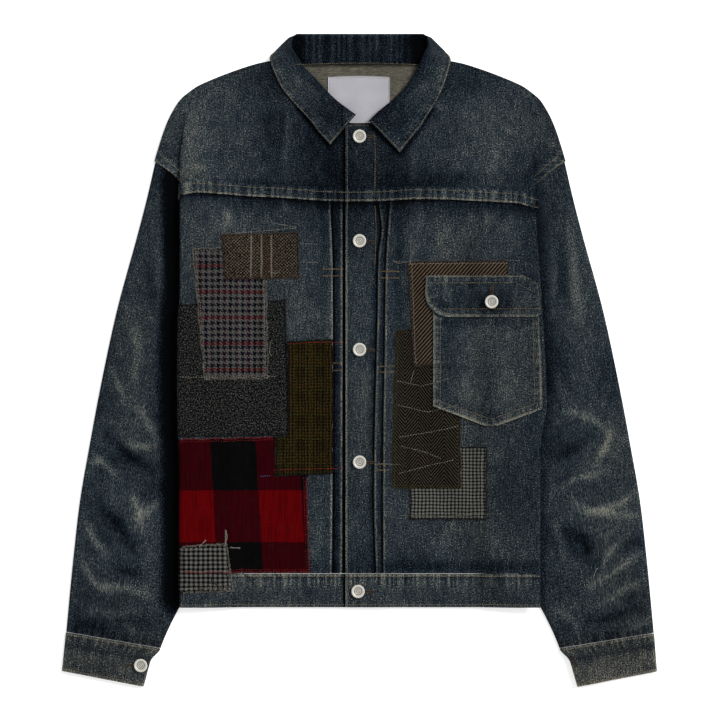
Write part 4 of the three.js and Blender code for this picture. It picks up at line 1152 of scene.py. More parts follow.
def oliveCheck(cloth, x, y, fuzz):
    cell = x.share(3.5).below(0.5) * 0.6 + y.share(3.5).below(0.5) * 0.4
    base = cloth.blend(cell * fuzz.eased(0.42, 0.56), (0.005, 0.004, 0.0035), (0.25, 0.19, 0.052))
    gold = x.share(5.75).below(0.2).either(y.share(14.0).below(0.06)) * 0.4
    rust = (x + 5.7).share(23.0).below(0.07).either((y + 9.0).share(28.0).below(0.05))
    brown = x.share(23.0).below(0.5) * y.share(28.0).below(0.5)
    base = cloth.blend(brown * 0.45, base, (0.020, 0.012, 0.006))
    lined = cloth.blend(gold * fuzz.eased(0.42, 0.54), base, (0.24, 0.20, 0.05))
    lined = cloth.blend(rust * 0.22, lined, (0.22, 0.055, 0.018))
    return lined


def redCheck(cloth, x, y, fuzz):
    lean = (y - 80.0) * -0.055
    across = x - lean
    column = (across - 35.0).eased(-0.5, 0.5) - (across - 87.0).eased(-0.5, 0.5)
    column = column + (across - 136.0).eased(-0.5, 0.5)
    row = (y - 34.5).eased(-0.5, 0.5) - (y - 94.0).eased(-0.5, 0.5)
    bright, deep, black = (0.36, 0.0020, 0.0055), (0.10, 0.0025, 0.0085), (0.0075, 0.0085, 0.0095)
    inRow = cloth.blend(column, bright, deep)
    outRow = cloth.blend(column, deep, black)
    check = cloth.blend(row, outRow, inRow)
    streak = cloth.noise(cloth.stretched(cloth.attribute("weave", "Vector"), 0.45, 0.03), 1.0, 3, 0.6)
    shadow = streak.eased(0.42, 0.62) * 0.3 + fuzz.eased(0.45, 0.62) * 0.35
    return cloth.blend(shadow, check, (0.007, 0.0012, 0.002))


def smallCheck(pitch, pale, dark, ratio=0.56):
    def pattern(cloth, x, y, fuzz):
        bars, rows = x.share(pitch).below(ratio), y.share(pitch * 0.92).below(ratio)
        cell = bars * rows
        base = cloth.blend(bars.either(rows) * 0.72, pale, dark)
        base = cloth.blend(cell, base, dark)
        return cloth.blend(fuzz.eased(0.47, 0.60) * 0.35, base, dark)
    return pattern


def brownTwill(cloth, x, y, fuzz):
    line = (x * 0.85 + y * -0.75).share(3.7)
    base = cloth.blend(line.below(0.55), (0.19, 0.138, 0.096), (0.007, 0.005, 0.0035))
    return cloth.blend(fuzz.eased(0.46, 0.60) * 0.6, base, (0.010, 0.007, 0.005))


def herringbone(cloth, x, y, fuzz):
    chevron = x.share(30.0).maths("PINGPONG", 0.5) * 30.0
    line = (chevron * 1.25 + y).share(4.3)
    base = cloth.blend(line.below(0.56), (0.185, 0.155, 0.110), (0.006, 0.0055, 0.0045))
    return cloth.blend(fuzz.eased(0.46, 0.58) * 0.7, base, (0.006, 0.0055, 0.004))


# Each patch: how far it is darkened, its front, its slot, the patches under it, and how far its corners are
# off its node's box, from the upper left round to the lower left
patches = {
    "patch_charcoal": {"deep": 0.165, "front": "right", "slot": "charcoal_tweed", "under": [], "wraps": True,
                       "off": [(0, -6), (-3, 0), (1, 2), (0, 0)], "pattern": charcoalTweed},
    "patch_houndstooth": {"deep": 0.21, "front": "right", "slot": "grey_houndstooth",
                          "under": ["patch_charcoal"],
                          "off": [(0, -2), (-2.5, 0), (0, 1), (14, 0)], "pattern": houndstooth},
    "patch_brown_stripe": {"deep": 0.15, "front": "right", "slot": "brown_stripe_tweed",
                           "under": ["patch_houndstooth", "patch_charcoal"],
                           "off": [(0, -2), (-1, 0), (0, 1), (4.5, 0)], "pattern": brownStripe},
    "patch_red_check": {"deep": 0.26, "front": "right", "slot": "red_black_check", "under": [], "wraps": True,
                        "off": [(0, -3.5), (-4.6, 0), (0, 0), (0, 0)], "pattern": redCheck},
    "patch_olive_check": {"deep": 0.155, "front": "right", "slot": "olive_check",
                          "under": ["patch_red_check", "patch_charcoal"],
                          "off": [(0, -3), (0, 0), (0, 3), (0, 0)], "step": (15.5, 0.70),
                          "pattern": oliveCheck},
    "patch_small_check": {"deep": 0.125, "front": "right", "slot": "small_grey_check",
                          "under": ["patch_red_check"], "wraps": True,
                          "off": [(0, -3.5), (-2, 0), (5, -24), (0, -26)],
                          "pattern": smallCheck(5.5, (0.95, 0.93, 0.86), (0.005, 0.0055, 0.0065), 0.5)},
    "patch_grey_check": {"deep": 0.14, "front": "left", "slot": "small_grey_check", "under": [],
                         "off": [(0, 0), (0, 0), (0, 0), (0, 0)],
                         "pattern": smallCheck(4.2, (0.95, 0.95, 0.86), (0.004, 0.005, 0.006), 0.46)},
    "patch_herringbone": {"deep": 0.25, "front": "left", "slot": "olive_herringbone",
                          "under": ["patch_grey_check"],
                          "off": [(4.6, 0), (-3, 0), (0, 0), (0, 0)], "pattern": herringbone},
    "patch_brown_twill": {"deep": 0.53, "front": "left", "slot": "brown_twill",
                          "under": ["patch_herringbone"],
                          "off": [(0, -1), (0, 0), (0, 3), (7, 0)], "pattern": brownTwill},
}
layer = clothing["wool"] + clothing["loose"]


def overBox(node, x, y, slope=3.0):  # 0 to 1: whether a place is over a patch, with a soft slope outside it
    x0, x1, y0, y1, _, _ = boxOf(node)
    inX = smooth((x - x0 + slope) / slope) * smooth((x1 + slope - x) / slope)
    return inX * smooth((y - y0 + slope) / slope) * smooth((y1 + slope - y) / slope)


def layOn(name, wide, y, rise):  # a place on a front, or round its fold, raised from the middle of its wall
    fold = foldAt[name](y) - clothing["denim"] / 2
    top = panelHeight(name, np.minimum(wide, fold - 6), y)
    belt = smooth((seams["waist"] + 1.2 - y) / 3)
    top = top + belt * (clothing["bandRise"] + clothing["doubled"] / 2 - clothing["denim"] / 2 + 0.3)
    radius = (top - backHeight(fold - 6, y) - clothing["frontTail"]) / 2
    turn = np.maximum(0, wide - fold + radius) / (radius + rise)
    x = np.where(turn > 0, fold - radius + (radius + rise) * np.sin(turn), wide)
    z = np.where(turn > 0, top - radius + (radius + rise) * np.cos(turn), top + rise)
    return np.stack([side[name] * x, y + 0 * x, z], axis=-1)


def ragged(t, seed):  # a cut edge wanders a little
    return 0.5 * np.sin(t * 31 + seed) + 0.35 * np.sin(t * 73 + 2 * seed) + 0.25 * np.sin(t * 151 + 3 * seed)


def liesOver(names, x, y):
    return sum((layer * overBox(node, x, y) for node in names), 0.0 * x)


def patchCorners(node):
    look = patches[node]
    x0, x1, y0, y1, _, _ = boxOf(node)
    box = [(x0, y1), (x1, y1), (x1, y0), (x0, y0)]
    return np.array([(x + dx, y + dy) for (x, y), (dx, dy) in zip(box, look["off"])])


def patchPlace(node, u, v, seed):  # x and y at shares across and down the patch
    look = patches[node]
    a, b, c, d = patchCorners(node)
    if look.get("wraps"):
        a, d = a - (6, 0), d - (6, 0)
    if "step" in look:
        out, at = look["step"]
        a, d = a + (out, 0), d + (out, 0)
    edgeX = ragged(v, seed) * (np.abs(2 * u - 1) ** 12) * (0.0 if look.get("wraps") else 1.0)
    edgeY = ragged(u, seed + 2) * (np.abs(2 * v - 1) ** 12)
    x = mix(mix(a[0], b[0], u), mix(d[0], c[0], u), v) + edgeX
    y = mix(mix(a[1], b[1], u), mix(d[1], c[1], u), v) + edgeY
    if "step" in look:
        x = x - out * (1 - u) * smooth((v - at) / 0.01)
    return x, y


for seed, (node, look) in enumerate(patches.items()):
    x0, x1, y0, y1, _, _ = boxOf(node)
    cols, rows = int((x1 - x0) / 2.2) + 6, int((y1 - y0) / 2.2) + 6
    u, v = np.meshgrid(np.linspace(0, 1, cols), np.linspace(0, 1, rows))
    x, y = patchPlace(node, u, v, seed)
    edge = np.minimum(np.minimum(u, 1 - u) * (x1 - x0), np.minimum(v, 1 - v) * (y1 - y0))
    puff = 0.45 * smooth(edge / 5) + 0.5 * rolling(x * 1.5, y * 1.5, seed) * smooth(edge / 8)
    held = -0.5 * softBand(edge - 2.6, 1.0) + 0.3 * puckered(u * (x1 - x0) + v * (y1 - y0), edge - 2.6, seed)
    rise = clothing["denim"] / 2 + 0.75 + liesOver(look["under"], x, y) + puff + held * 0.8
    grid = layOn(look["front"], side[look["front"]] * x, y, rise)
    weave = np.stack([x - x0, y - y0, 0 * x], axis=-1)
    finishName = {"patch_grey_check": "fine grey check"}.get(node, look["slot"].replace("_", " "))
    finish = wool(finishName, look["pattern"], look["deep"])
    # darker towards the patch's edge
    edgeDarkening = smooth((1.6 - edge) / 1.6)
    cloth = shell(node.replace("patch_", "wool_"), grid, clothing["wool"], finish, edgeDarkening, weave)
    finished(cloth, node, look["slot"])
    tall = y1 - y0 + (24 if node == "patch_small_check" else 0)
    (x1 - x0) * mm + (0.006 if look.get("wraps") else 0)
    tall * mm
    "front_" + look["front"]
print("patches made")


# The pocket and its flap
pocketLook = {"point": 0.53, "side": [-53, -78.2, -56.4], "over": ["patch_herringbone", "patch_brown_twill"]}


def pocketGrid(u, v):
    x0, x1, _, y1, _, _ = boxOf("pocket")
    a, b, c = pocketLook["side"]
    share = pocketLook["point"]
    bottom = np.where(u < share, mix(a, b, u / share), mix(b, c, (u - share) / (1 - share)))
    bottom = bottom + 2.2 * softBand((u - share) * 40, 1.6)
    right = 204 + 5 * smooth(v * 1.2)
    return mix(x0 + 0 * v, right, u), mix(y1 + 0 * u, bottom, v)


def flapGrid(u, v):
    top = 97.2 - 9 * smooth((u - 0.85) / 0.15) - 1.5 * smooth((0.03 - u) / 0.03)
    corner = np.sqrt(np.clip(1 - (np.clip(0.2 - u, 0, 1) / 0.2) ** 2, 0, 1))
    bottom = mix(76, 49.5, corner) + 3.5 * smooth((u - 0.95) / 0.05)
    left, right = 75.9 - 1.1 * v, mix(203, 208, v)
    return mix(left, right, u), mix(top, bottom, v)


pocketOutline = [(84, 80), (84, -53), (150.2, -77), (209, -56.4), (204, 80)]
flapOutline = [(75.9, 97), (75, 76), (80, 63.5), (90, 54.5), (103, 50.5), (150, 49.5), (202, 49.6), (208, 53),
               (203.5, 88.5), (193, 95.5), (184, 97.2), (75.9, 97)]
for node, place, outline, over, name in (
    ("pocket", pocketGrid, pocketOutline, [], "pocket_cloth"),
    ("pocket_flap", flapGrid, flapOutline, ["pocket"], "flap_cloth"),
):
    x0, x1, y0, y1, _, _ = boxOf(node)
    u, v = np.meshgrid(np.linspace(0, 1, int((x1 - x0) / 1.5)), np.linspace(0, 1, int((y1 - y0) / 1.5) + 6))
    x, y = place(u, v)
    d, share = away(x, y, outline)
    run = share * 420
    rise = clothing["denim"] + 0.5 + liesOver(pocketLook["over"] + over, x, y) + 0.5 * bool(over)
    edge = 0.55 * softBand(d - 0.9, 1.6) - 0.4 * softBand(d - 1.9, 0.8) + 0.3 * puckered(run, d - 4, 2.0) * smooth(d)
    edge = edge - 0.35 * softBand(d - 8.0, 0.9) + 0.5 * rolling(x * 1.3, y * 1.1, 4.0) * smooth((d - 8) / 10)
    grid = layOn("left", x, y, rise + edge)
    fadeAndShade = 0.54 + 0.50 * softBand(d - 0.6, 1.1) + 0.12 * softBand(d - 4.5, 2.5) + 0.12 * puckered(run, d - 4, 2.0)
    streak = [(0.20, 98, 78, 2.5, 14), (0.18, 104, 75, 2.0, 10), (0.16, 122, 78, 2.0, 12),
              (0.18, 140, 80, 2.0, 8), (0.12, 178, 72, 3, 14), (0.14, 190, 70, 9, 9),
              (-0.34, 150, 64, 17, 15), (-0.12, 92, 62, 8, 10)]
    # on the pocket, the long spot at y 44 is painted shadow under the flap's lower edge
    panel = [(-0.10, 97, 10, 8, 60), (0.10, 130, 10, 12, 50), (0.08, 165, 0, 10, 50),
             (-0.08, 148, -20, 8, 40), (-0.14, 150, 44, 60, 6), (0.10, 175, -40, 20, 16),
             (-0.12, 150, -64, 10, 7), (0.08, 118, -30, 14, 20)]
    fadeAndShade = fadeAndShade + pools(x, y, streak if over else panel) - 0.08 * bool(over)
    fadeAndShade = fadeAndShade + 0.05 * rolling(x * 3, y * 0.5, 3.0)
    cloth = shell(name, grid, clothing["denim"] * 0.9, denim, fadeAndShade, runs(grid))
    finished(cloth, node)
    area = 0.0157 if node == "pocket" else 0.0058
    (x1 - x0) * mm
    (y1 - y0) * mm
print("pocket made")


# Buttons: turned metal with a painted face, its rings and its dimple, on a short shank
buttonLook = {"radius": 7.7, "turns": 36, "profile": [
    (0, 1.9), (0.05, 1.95), (0.08, 2.25), (0.15, 2.35), (0.2, 2.2), (0.26, 2.0), (0.32, 2.1), (0.4, 2.35),
    (0.47, 2.3), (0.52, 2.1), (0.58, 2.2), (0.66, 2.6), (0.76, 2.95), (0.86, 3.15), (0.94, 3.0), (0.985, 2.6),
    (1.0, 2.1), (0.98, 1.5), (0.9, 0.9), (0.6, 0.6), (0.3, 0.5), (0.26, -0.2), (0, -0.25)]}


def buttonFinish():
    enamel = Finish("button metal", roughness=0.38, specular=0.5, metallic=0.0)
    # painted shade: the attribute ring makes the face darkest in its grooves and its dimple
    ring = enamel.attribute("ring")
    grime = enamel.noise(enamel.place(), 900, 3)
    shades = (0.0, (0.05, 0.046, 0.040)), (0.4, (0.16, 0.15, 0.125)), (0.85, (0.52, 0.505, 0.455))
    face = enamel.ramp(ring, *shades)
    colour = enamel.blend(grime.eased(0.5, 0.75) * 0.35, face, (0.30, 0.28, 0.24))
    return enamel.done(colour, grime, 0.00008)


buttonMetal = buttonFinish()
for node in sorted(frame["nodes"]):
    if not node.startswith("button_"):
        continue
    x0, x1, y0, y1, z0, z1 = boxOf(node)
    profile = np.array(buttonLook["profile"], float)
    fine = curved(profile[None], 67)[0]
    angle = np.linspace(0, 2 * np.pi, buttonLook["turns"], endpoint=False)[None]
    radius = np.maximum(fine[:, :1], 0) * buttonLook["radius"]
    under = node == "button_cuff_left"  # lies face down under its cuff
    z = (z1 - fine[:, 1:]) if under else (z0 + fine[:, 1:])
    z = np.maximum(z + 0 * angle, 0.05)
    x, y = (x0 + x1) / 2 + radius * np.cos(angle), (y0 + y1) / 2 + radius * np.sin(angle)
    grid = np.stack([x, y, z], axis=-1)
    tilt = {"button_cuff_right": 0.10, "button_pocket": 0.03, "button_front_3": -0.03}.get(node, 0.0)
    grid[..., 2] += tilt * (grid[..., 0] - (x0 + x1) / 2) + (1.0 if tilt > 0.05 else 0)
    points, faces = closedLoft(grid)
    # painted shade by depth: low in the grooves and the dimple, high on the ridges
    height = np.interp(fine[:, 0], [0, 0.06, 0.15, 0.26, 0.4, 0.53, 0.66, 1.0],
                       [0.05, 0.4, 1, 0.15, 1, 0.1, 1, 1])
    height = np.where(np.arange(len(fine)) > 50, 0.4, height)
    ring = np.concatenate([np.repeat(height, buttonLook["turns"]), [0.3, 0.3]])
    button = meshObject(node.replace("button_", "turned_button_"), points, plainFaces(faces), buttonMetal,
                        {"ring": ring})
    finished(button, node, "button_metal")
print("buttons made")


# Where things land on the cloth, seen from above
def clothBelow():
    points, faces, start = [], [], 0
    for piece in bpy.context.scene.objects:
        if piece.type == "MESH" and ("cloth" in piece.name or piece.name.startswith("wool_")):
            points += [vertex.co[:] for vertex in piece.data.vertices]
            faces += [[corner + start for corner in face.vertices] for face in piece.data.polygons]
            start += len(piece.data.vertices)
    return BVHTree.FromPolygons(points, faces)


cloths = clothBelow()


def landed(x, y, lift=0.1):  # the height of the cloth at a place, in millimetres
    hit = cloths.ray_cast(Vector((x * mm, y * mm, 0.06)), Vector((0, 0, -1)))[0]
    return (hit.z / mm if hit else 0.0) + lift


# Geometry Nodes lay one thread after another along rows drawn on the cloth
def stitchTree():
    tree = bpy.data.node_groups.new("stitches along rows", "GeometryNodeTree")
    inputs = (("Pitch", "NodeSocketFloat"), ("Length", "NodeSocketFloat"), ("Thread", "NodeSocketFloat"),
              ("Turn", "NodeSocketFloat"), ("Wander", "NodeSocketFloat"), ("Seed", "NodeSocketInt"),
              ("Material", "NodeSocketMaterial"))
    tree.interface.new_socket("Rows", in_out="INPUT", socket_type="NodeSocketGeometry")
    for name, kind in inputs:
        tree.interface.new_socket(name, in_out="INPUT", socket_type=kind)
    tree.interface.new_socket("Stitches", in_out="OUTPUT", socket_type="NodeSocketGeometry")
    new, link = tree.nodes.new, tree.links.new
    given = new("NodeGroupInput").outputs

    def maths(kind, a, b):
        node = new("ShaderNodeMath")
        node.operation = kind
        for socket, value in zip(node.inputs, (a, b)):
            if isinstance(value, (int, float)):
                socket.default_value = value
            else:
                link(value, socket)
        return node.outputs[0]

    def vector(x, y, z):
        node = new("ShaderNodeCombineXYZ")
        for socket, value in zip(node.inputs, (x, y, z)):
            if isinstance(value, (int, float)):
                socket.default_value = value
            else:
                link(value, socket)
        return node.outputs[0]

    curve = new("GeometryNodeMeshToCurve")
    link(given["Rows"], curve.inputs["Mesh"])
    places = new("GeometryNodeCurveToPoints")
    places.mode = "LENGTH"
    link(curve.outputs["Curve"], places.inputs["Curve"])
    link(given["Pitch"], places.inputs["Length"])
    arch = new("GeometryNodeCurveQuadraticBezier")  # one stitch: a short arch whose ends go into the cloth
    arch.inputs["Resolution"].default_value = 3
    half, dip = maths("MULTIPLY", given["Length"], 0.5), maths("MULTIPLY", given["Thread"], -0.9)
    link(vector(maths("MULTIPLY", half, -1.0), 0.0, dip), arch.inputs["Start"])
    link(vector(0.0, 0.0, maths("MULTIPLY", given["Thread"], 1.9)), arch.inputs["Middle"])
    link(vector(half, 0.0, dip), arch.inputs["End"])
    around = new("GeometryNodeCurvePrimitiveCircle")
    around.inputs["Resolution"].default_value = 4
    link(maths("MULTIPLY", given["Thread"], 0.5), around.inputs["Radius"])
    thread = new("GeometryNodeCurveToMesh")
    link(arch.outputs["Curve"], thread.inputs["Curve"])
    link(around.outputs["Curve"], thread.inputs["Profile Curve"])
    thread.inputs["Fill Caps"].default_value = True
    facing = new("FunctionNodeAlignRotationToVector")
    facing.axis, facing.pivot_axis = "X", "Z"
    link(places.outputs["Tangent"], facing.inputs["Vector"])
    wander = new("FunctionNodeRandomValue")
    link(maths("MULTIPLY", given["Wander"], -1.0), wander.inputs[2])
    link(given["Wander"], wander.inputs[3])
    link(given["Seed"], wander.inputs["Seed"])
    turned = new("FunctionNodeRotateRotation")
    turned.rotation_space = "LOCAL"
    link(facing.outputs["Rotation"], turned.inputs["Rotation"])
    link(vector(0.0, 0.0, maths("ADD", given["Turn"], wander.outputs[1])), turned.inputs["Rotate By"])
    size = new("FunctionNodeRandomValue")
    size.inputs[2].default_value, size.inputs[3].default_value = 0.8, 1.1
    link(given["Seed"], size.inputs["Seed"])
    laid = new("GeometryNodeInstanceOnPoints")
    link(places.outputs["Points"], laid.inputs["Points"])
    link(thread.outputs["Mesh"], laid.inputs["Instance"])
    link(turned.outputs["Rotation"], laid.inputs["Rotation"])
    link(vector(size.outputs[1], size.outputs[1], 1.0), laid.inputs["Scale"])
    real = new("GeometryNodeRealizeInstances")
    link(laid.outputs["Instances"], real.inputs["Geometry"])
    finish = new("GeometryNodeSetMaterial")
    link(real.outputs["Geometry"], finish.inputs["Geometry"])
    link(given["Material"], finish.inputs["Material"])
    link(finish.outputs["Geometry"], new("NodeGroupOutput").inputs[0])
    return tree


stitches = stitchTree()


def threadFinish(name, colour, rough=0.8):
    thread = Finish(name, roughness=rough, specular=0.2)
    dull = thread.noise(thread.place(), 260, 3, 0.7)
    fine = thread.noise(thread.place(), 1800, 2)
    darker, paler = (tuple(min(1, part * times) for part in colour) for times in (0.55, 1.3))
    shade = thread.blend(dull.eased(0.35, 0.7), darker, paler)
    return thread.done(shade, fine, 0.0001)


threads = {
    "khaki": threadFinish("khaki thread", (0.20, 0.165, 0.105)),
    "cream": threadFinish("cream thread", (0.26, 0.24, 0.20)),
    "orange": threadFinish("orange thread", (0.17, 0.11, 0.055)),
    "brown": threadFinish("brown thread", (0.07, 0.047, 0.033)),
    "dark": threadFinish("dark thread", (0.010, 0.010, 0.011)),
    "red": threadFinish("red thread", (0.26, 0.012, 0.015)),
    "white": threadFinish("white thread", (0.34, 0.33, 0.30)),
    "blue": threadFinish("blue thread", (0.05, 0.08, 0.20)),
    "olive": threadFinish("olive thread", (0.06, 0.052, 0.02)),
}


def drawnRow(points, lift=0.12, step=1.6, wiggle=0.0, seed=0):
    ends = np.array(points, float)
    chance = random.Random(seed)
    lengths = np.concatenate([[0], np.cumsum(np.hypot(*np.diff(ends, axis=0).T))])
    at = np.linspace(0, lengths[-1], max(2, int(lengths[-1] / step) + 1))
    xs, ys = np.interp(at, lengths, ends[:, 0]), np.interp(at, lengths, ends[:, 1])
    shifts = [chance.uniform(-wiggle, wiggle) for _ in at]
    return [(x + s, y + s, landed(x + s, y + s, lift)) for x, y, s in zip(xs, ys, shifts)]


def keptMesh(drawn, name, thread):  # what a line and its modifiers make, as a piece of its own
    made = bpy.data.meshes.new_from_object(drawn.evaluated_get(bpy.context.evaluated_depsgraph_get()))
    bpy.data.objects.remove(drawn)
    made.materials.clear()
    made.materials.append(threads[thread])
    piece = bpy.data.objects.new(name, made)
    bpy.context.scene.collection.objects.link(piece)
    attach(piece, "root")
    return piece


def sewn(name, thread, rows, pitch=2.7, length=2.1, width=0.55, turn=0.0, wander=0.05, seed=1):
    points, edges = [], []
    for row in rows:
        edges += [(len(points) + i, len(points) + i + 1) for i in range(len(row) - 1)]
        points += row
    mesh = bpy.data.meshes.new(name)
    mesh.from_pydata((np.array(points) * mm).tolist(), edges, [])
    rowsPiece = bpy.data.objects.new(name + "_rows", mesh)
    bpy.context.scene.collection.objects.link(rowsPiece)
    modifier = rowsPiece.modifiers.new("stitches", "NODES")
    modifier.node_group = stitches
    values = {"Pitch": pitch * mm, "Length": length * mm, "Thread": width * mm, "Turn": turn,
              "Wander": wander, "Seed": seed, "Material": threads[thread]}
    for item in stitches.interface.items_tree:
        if item.in_out == "INPUT" and item.name in values:
            modifier[item.identifier] = values[item.name]
    polygons = keptMesh(rowsPiece, name, thread).data.polygons
    polygons.foreach_set("use_smooth", [True] * len(polygons))


def yokeRow(name, d, start=None, end=205):
    widths = np.arange(frontEdge[name] + 1.5 if start is None else start, end, 3)
    return drawnRow([(side[name] * w, float(yokeEdgeAt[name](w)) + d) for w in widths])


def leafRow(name, inset):
    places = np.array(collarLeaf[name], float)
    share = inset / collarLook["wide"]
    first = mix(places[0], places[1], 1.6 / 15)
    line = [mix(first[0], first[1], t) for t in (0.08, 0.5, 1 - share)]
    return drawnRow([*line, *[mix(place[0], place[1], 1 - share) for place in places[1:-1]]], step=1.4)


def cuffRow(name, t, low=0.03, high=0.97):
    place = cuffPlace(name)
    return drawnRow([place(u, t) for u in np.linspace(low, high, 16)])


def armholeRow(name, d):
    seam = ((206, 203.5), (220, 215.5), (233.5, 226.8))
    return drawnRow([(side[name] * (w - 0.645 * d), y + 0.765 * d) for w, y in seam])


def insetPocket(d):  # a row of stitches inside the pocket's edge
    return drawnRow([(84 + d, 47), (84 + d, -53 + 0.63 * d), (150.2, -77 + 1.1 * d),
                     (208.4 - d, -56.4 + 0.73 * d), (206.6 - d, 47)])


armholeRows = [armholeRow(name, d) for name in ("right", "left") for d in (1.6, 9.5)]
plain = [yokeRow("right", 2.3), yokeRow("right", 11.2), yokeRow("left", 2.3), yokeRow("left", 11.2),
         *armholeRows]
plain += [drawnRow([(-14.6, 268), (-14.6, 100), (-14.8, -60), (-14.6, -243)]),
          drawnRow([(16, 262), (17.5, 240), (17, 190)]), drawnRow([(17.2, 176), (18.6, 150), (17, 110)]),
          drawnRow([(-13, 269.4), (9, 269.8)]), drawnRow([(-14.4, -249), (-14.4, -281)]),
          drawnRow([(26.5, -248), (26.5, -258)])]
plain += [drawnRow([(-205, -280.8), (-19, -281)]), drawnRow([(-14, -281), (205, -280.8)]),
          drawnRow([(-142, -248.6), (-19, -248.6)]), drawnRow([(-14, -248.6), (205, -248.4)])]
plain += [leafRow(name, 1.9) for name in ("right", "left")]
plain += [cuffRow(name, t) for name in ("right", "left") for t in (0.045, 0.94)]
plain += [insetPocket(d) for d in (1.9, 8.2)]
plain += [drawnRow([(77.5, 95.6), (180, 95.8), (192, 94), (201, 88)]),
          drawnRow([(77, 88.4), (178, 88.6), (200, 78)]),
          drawnRow([(77.5, 80), (78.5, 72), (84, 62.8), (93, 56), (104, 52.6), (150, 51.6), (203, 51.8)])]
plain += [drawnRow([(58.5, 141), (58, 112)])]
sewn("stitches_seams", "khaki", plain, pitch=2.6, length=2.0, width=0.62)
stand = [drawnRow([(x, 341.2 - 0.0004 * x * x) for x in range(-74, 68, 4)])]
sewn("stitches_stand", "khaki", stand, pitch=2.2, length=1.7, width=0.6, seed=2)
orange = [drawnRow([(98, 58.5), (203, 58.7)])]
sewn("stitches_orange", "orange", orange, pitch=2.4, length=2.0, width=0.65, seed=3)
tacks = [((20.7, 101.8), (44.9, 101.6)), ((20.7, 94.3), (44.9, 94.2)), ((23, -7.5), (40.3, -7.2)),
         ((23, -14), (40, -13.6)), ((19.6, -120), (34.5, -119.6)), ((19.6, -126.5), (33, -126.5)),
         ((-42.6, 104.7), (-19.6, 104.4)), ((-42.6, 96.8), (-19.6, 96.5)), ((-31, -3.5), (-20.7, -3.5)),
         ((-31, -12), (-20.7, -12))]
sewn("stitches_tacks", "orange", [drawnRow(tack) for tack in tacks], pitch=0.85, length=1.7, width=0.5,
     turn=1.2, seed=4)

x0, x1, y0, y1, _, _ = boxOf("neck_label")
labelRow = [(x0 + 1.8, 302), (x0 + 1.8, y1 - 3.4), ((x0 + x1) / 2, y1 - 1.9), (x1 - 1.8, y1 - 3.4),
            (x1 - 1.8, 300)]
sewn("stitches_label", "khaki", [drawnRow(labelRow, lift=0.05)], pitch=2.4, length=1.2, width=0.45, seed=5)

cream = [((-206, -19.4), (-160, -20.6), (-98, -19)), ((48, -178.5), (100, -179.5), (161, -176)),
         ((139, -112), (139.4, -160), (138.6, -201)), ((59.5, 110), (61.5, 60), (63.6, -2)),
         ((57, 110.4), (110, 111), (168, 111)), ((46, -88.5), (80.5, -82.8), (113, -76), (127, -76)),
         ((48, -99), (75, -106), (92, -112.7)), ((46, -130), (80.5, -120.8), (106, -115)),
         ((44, -24), (70, -30), (100, -22)), ((45, -52), (78, -60), (112, -52)),
         ((-112.7, 160), (-72.5, 152), (-147, 145)), ((-68, 134), (-49.5, 133)), ((-68, 112.7), (-49, 112)),
         ((-88, 92), (-78, 90)), ((39, 113), (57, 112.6)), ((169, 114), (182, 114)), ((22, -119), (45, -120)),
         ((62.8, 8), (64.8, -3))]
sewn("stitches_cream", "cream", [drawnRow(row, wiggle=0.25, seed=i) for i, row in enumerate(cream)],
     pitch=3.0, length=2.3, width=0.5, wander=0.3, seed=6)
red = [((-84, 18.6), (-50, 20.4), (-20, 20)), ((-98, -126.5), (-60, -125), (-20, -124.5))]
sewn("stitches_red", "red", [drawnRow(row) for row in red], pitch=3.0, length=2.6, width=0.5, wander=0.12,
     seed=7)
sewn("stitches_blue", "blue", [drawnRow([(-114, -133.6), (-104, -132.8)])], pitch=2.4, length=1.8, width=0.7,
     seed=8)
white = [((-154, -195), (-154.4, -213)), ((-149, -215), (-138, -216)), ((-184, -214), (-177, -207))]
sewn("stitches_white", "white", [drawnRow(row) for row in white], pitch=1.1, length=1.9, width=0.45, turn=0.9,
     wander=0.5, seed=9)
darns = [drawnRow([(-61 + 1.5 * math.sin(i), -138 - 5.2 * i),
                   (-49 + 2 * math.sin(2.3 * i), -138.4 - 5.2 * i)])
         for i in range(15)]
sewn("stitches_darning", "dark", darns, pitch=2.4, length=1.9, width=0.45, wander=0.35, seed=10)


def underPocket(x, y):
    return ((x > 84) & (x < 206) & (y > -60) & (y < 84)) | ((x > 76) & (y > 50) & (y < 97))


def patchEdge(node, inset, seed):  # the parts of a patch's edge that show, as rows for stitches
    look = patches[node]
    t = np.linspace(0, 1, 40)
    x0, x1, y0, y1, _, _ = boxOf(node)
    du, dv = inset / (x1 - x0), inset / (y1 - y0)
    rows = []
    for u, v in ((t, 0 * t + dv), (t, 1 - dv + 0 * t), (0 * t + du, t), (1 - du + 0 * t, t)):
        if look.get("wraps") and u[0] == u[-1] == du:
            continue
        x, y = patchPlace(node, u, v, seed)
        keep = np.abs(x) < foldAt[look["front"]](y) - 3
        for upper, other in patches.items():
            if node in other["under"]:
                keep &= overBox(upper, x, y, 0.5) < 0.5
        keep &= ~underPocket(x, y)
        ends = np.flatnonzero(np.diff(np.concatenate([[0], keep.astype(int), [0]])))
        rows += [drawnRow(list(zip(x[a:b], y[a:b]))) for a, b in zip(ends[::2], ends[1::2]) if b - a > 2]
    return rows


edging = {"patch_charcoal": "dark", "patch_houndstooth": "cream", "patch_brown_stripe": "brown",
          "patch_red_check": "red", "patch_olive_check": "dark", "patch_small_check": "cream",
          "patch_grey_check": "dark", "patch_herringbone": "olive", "patch_brown_twill": "brown"}
for seed, (node, thread) in enumerate(edging.items()):
    sewn(node.replace("patch_", "fringe_"), thread, patchEdge(node, 0.2, seed), pitch=1.15, length=2.6,
         width=0.3, turn=1.5, wander=0.55, seed=20 + seed)
    sewn(node.replace("patch_", "sewing_"), thread, patchEdge(node, 2.8, seed), pitch=3.1, length=2.0,
         width=0.42, wander=0.15, seed=40 + seed)
print("stitches made")

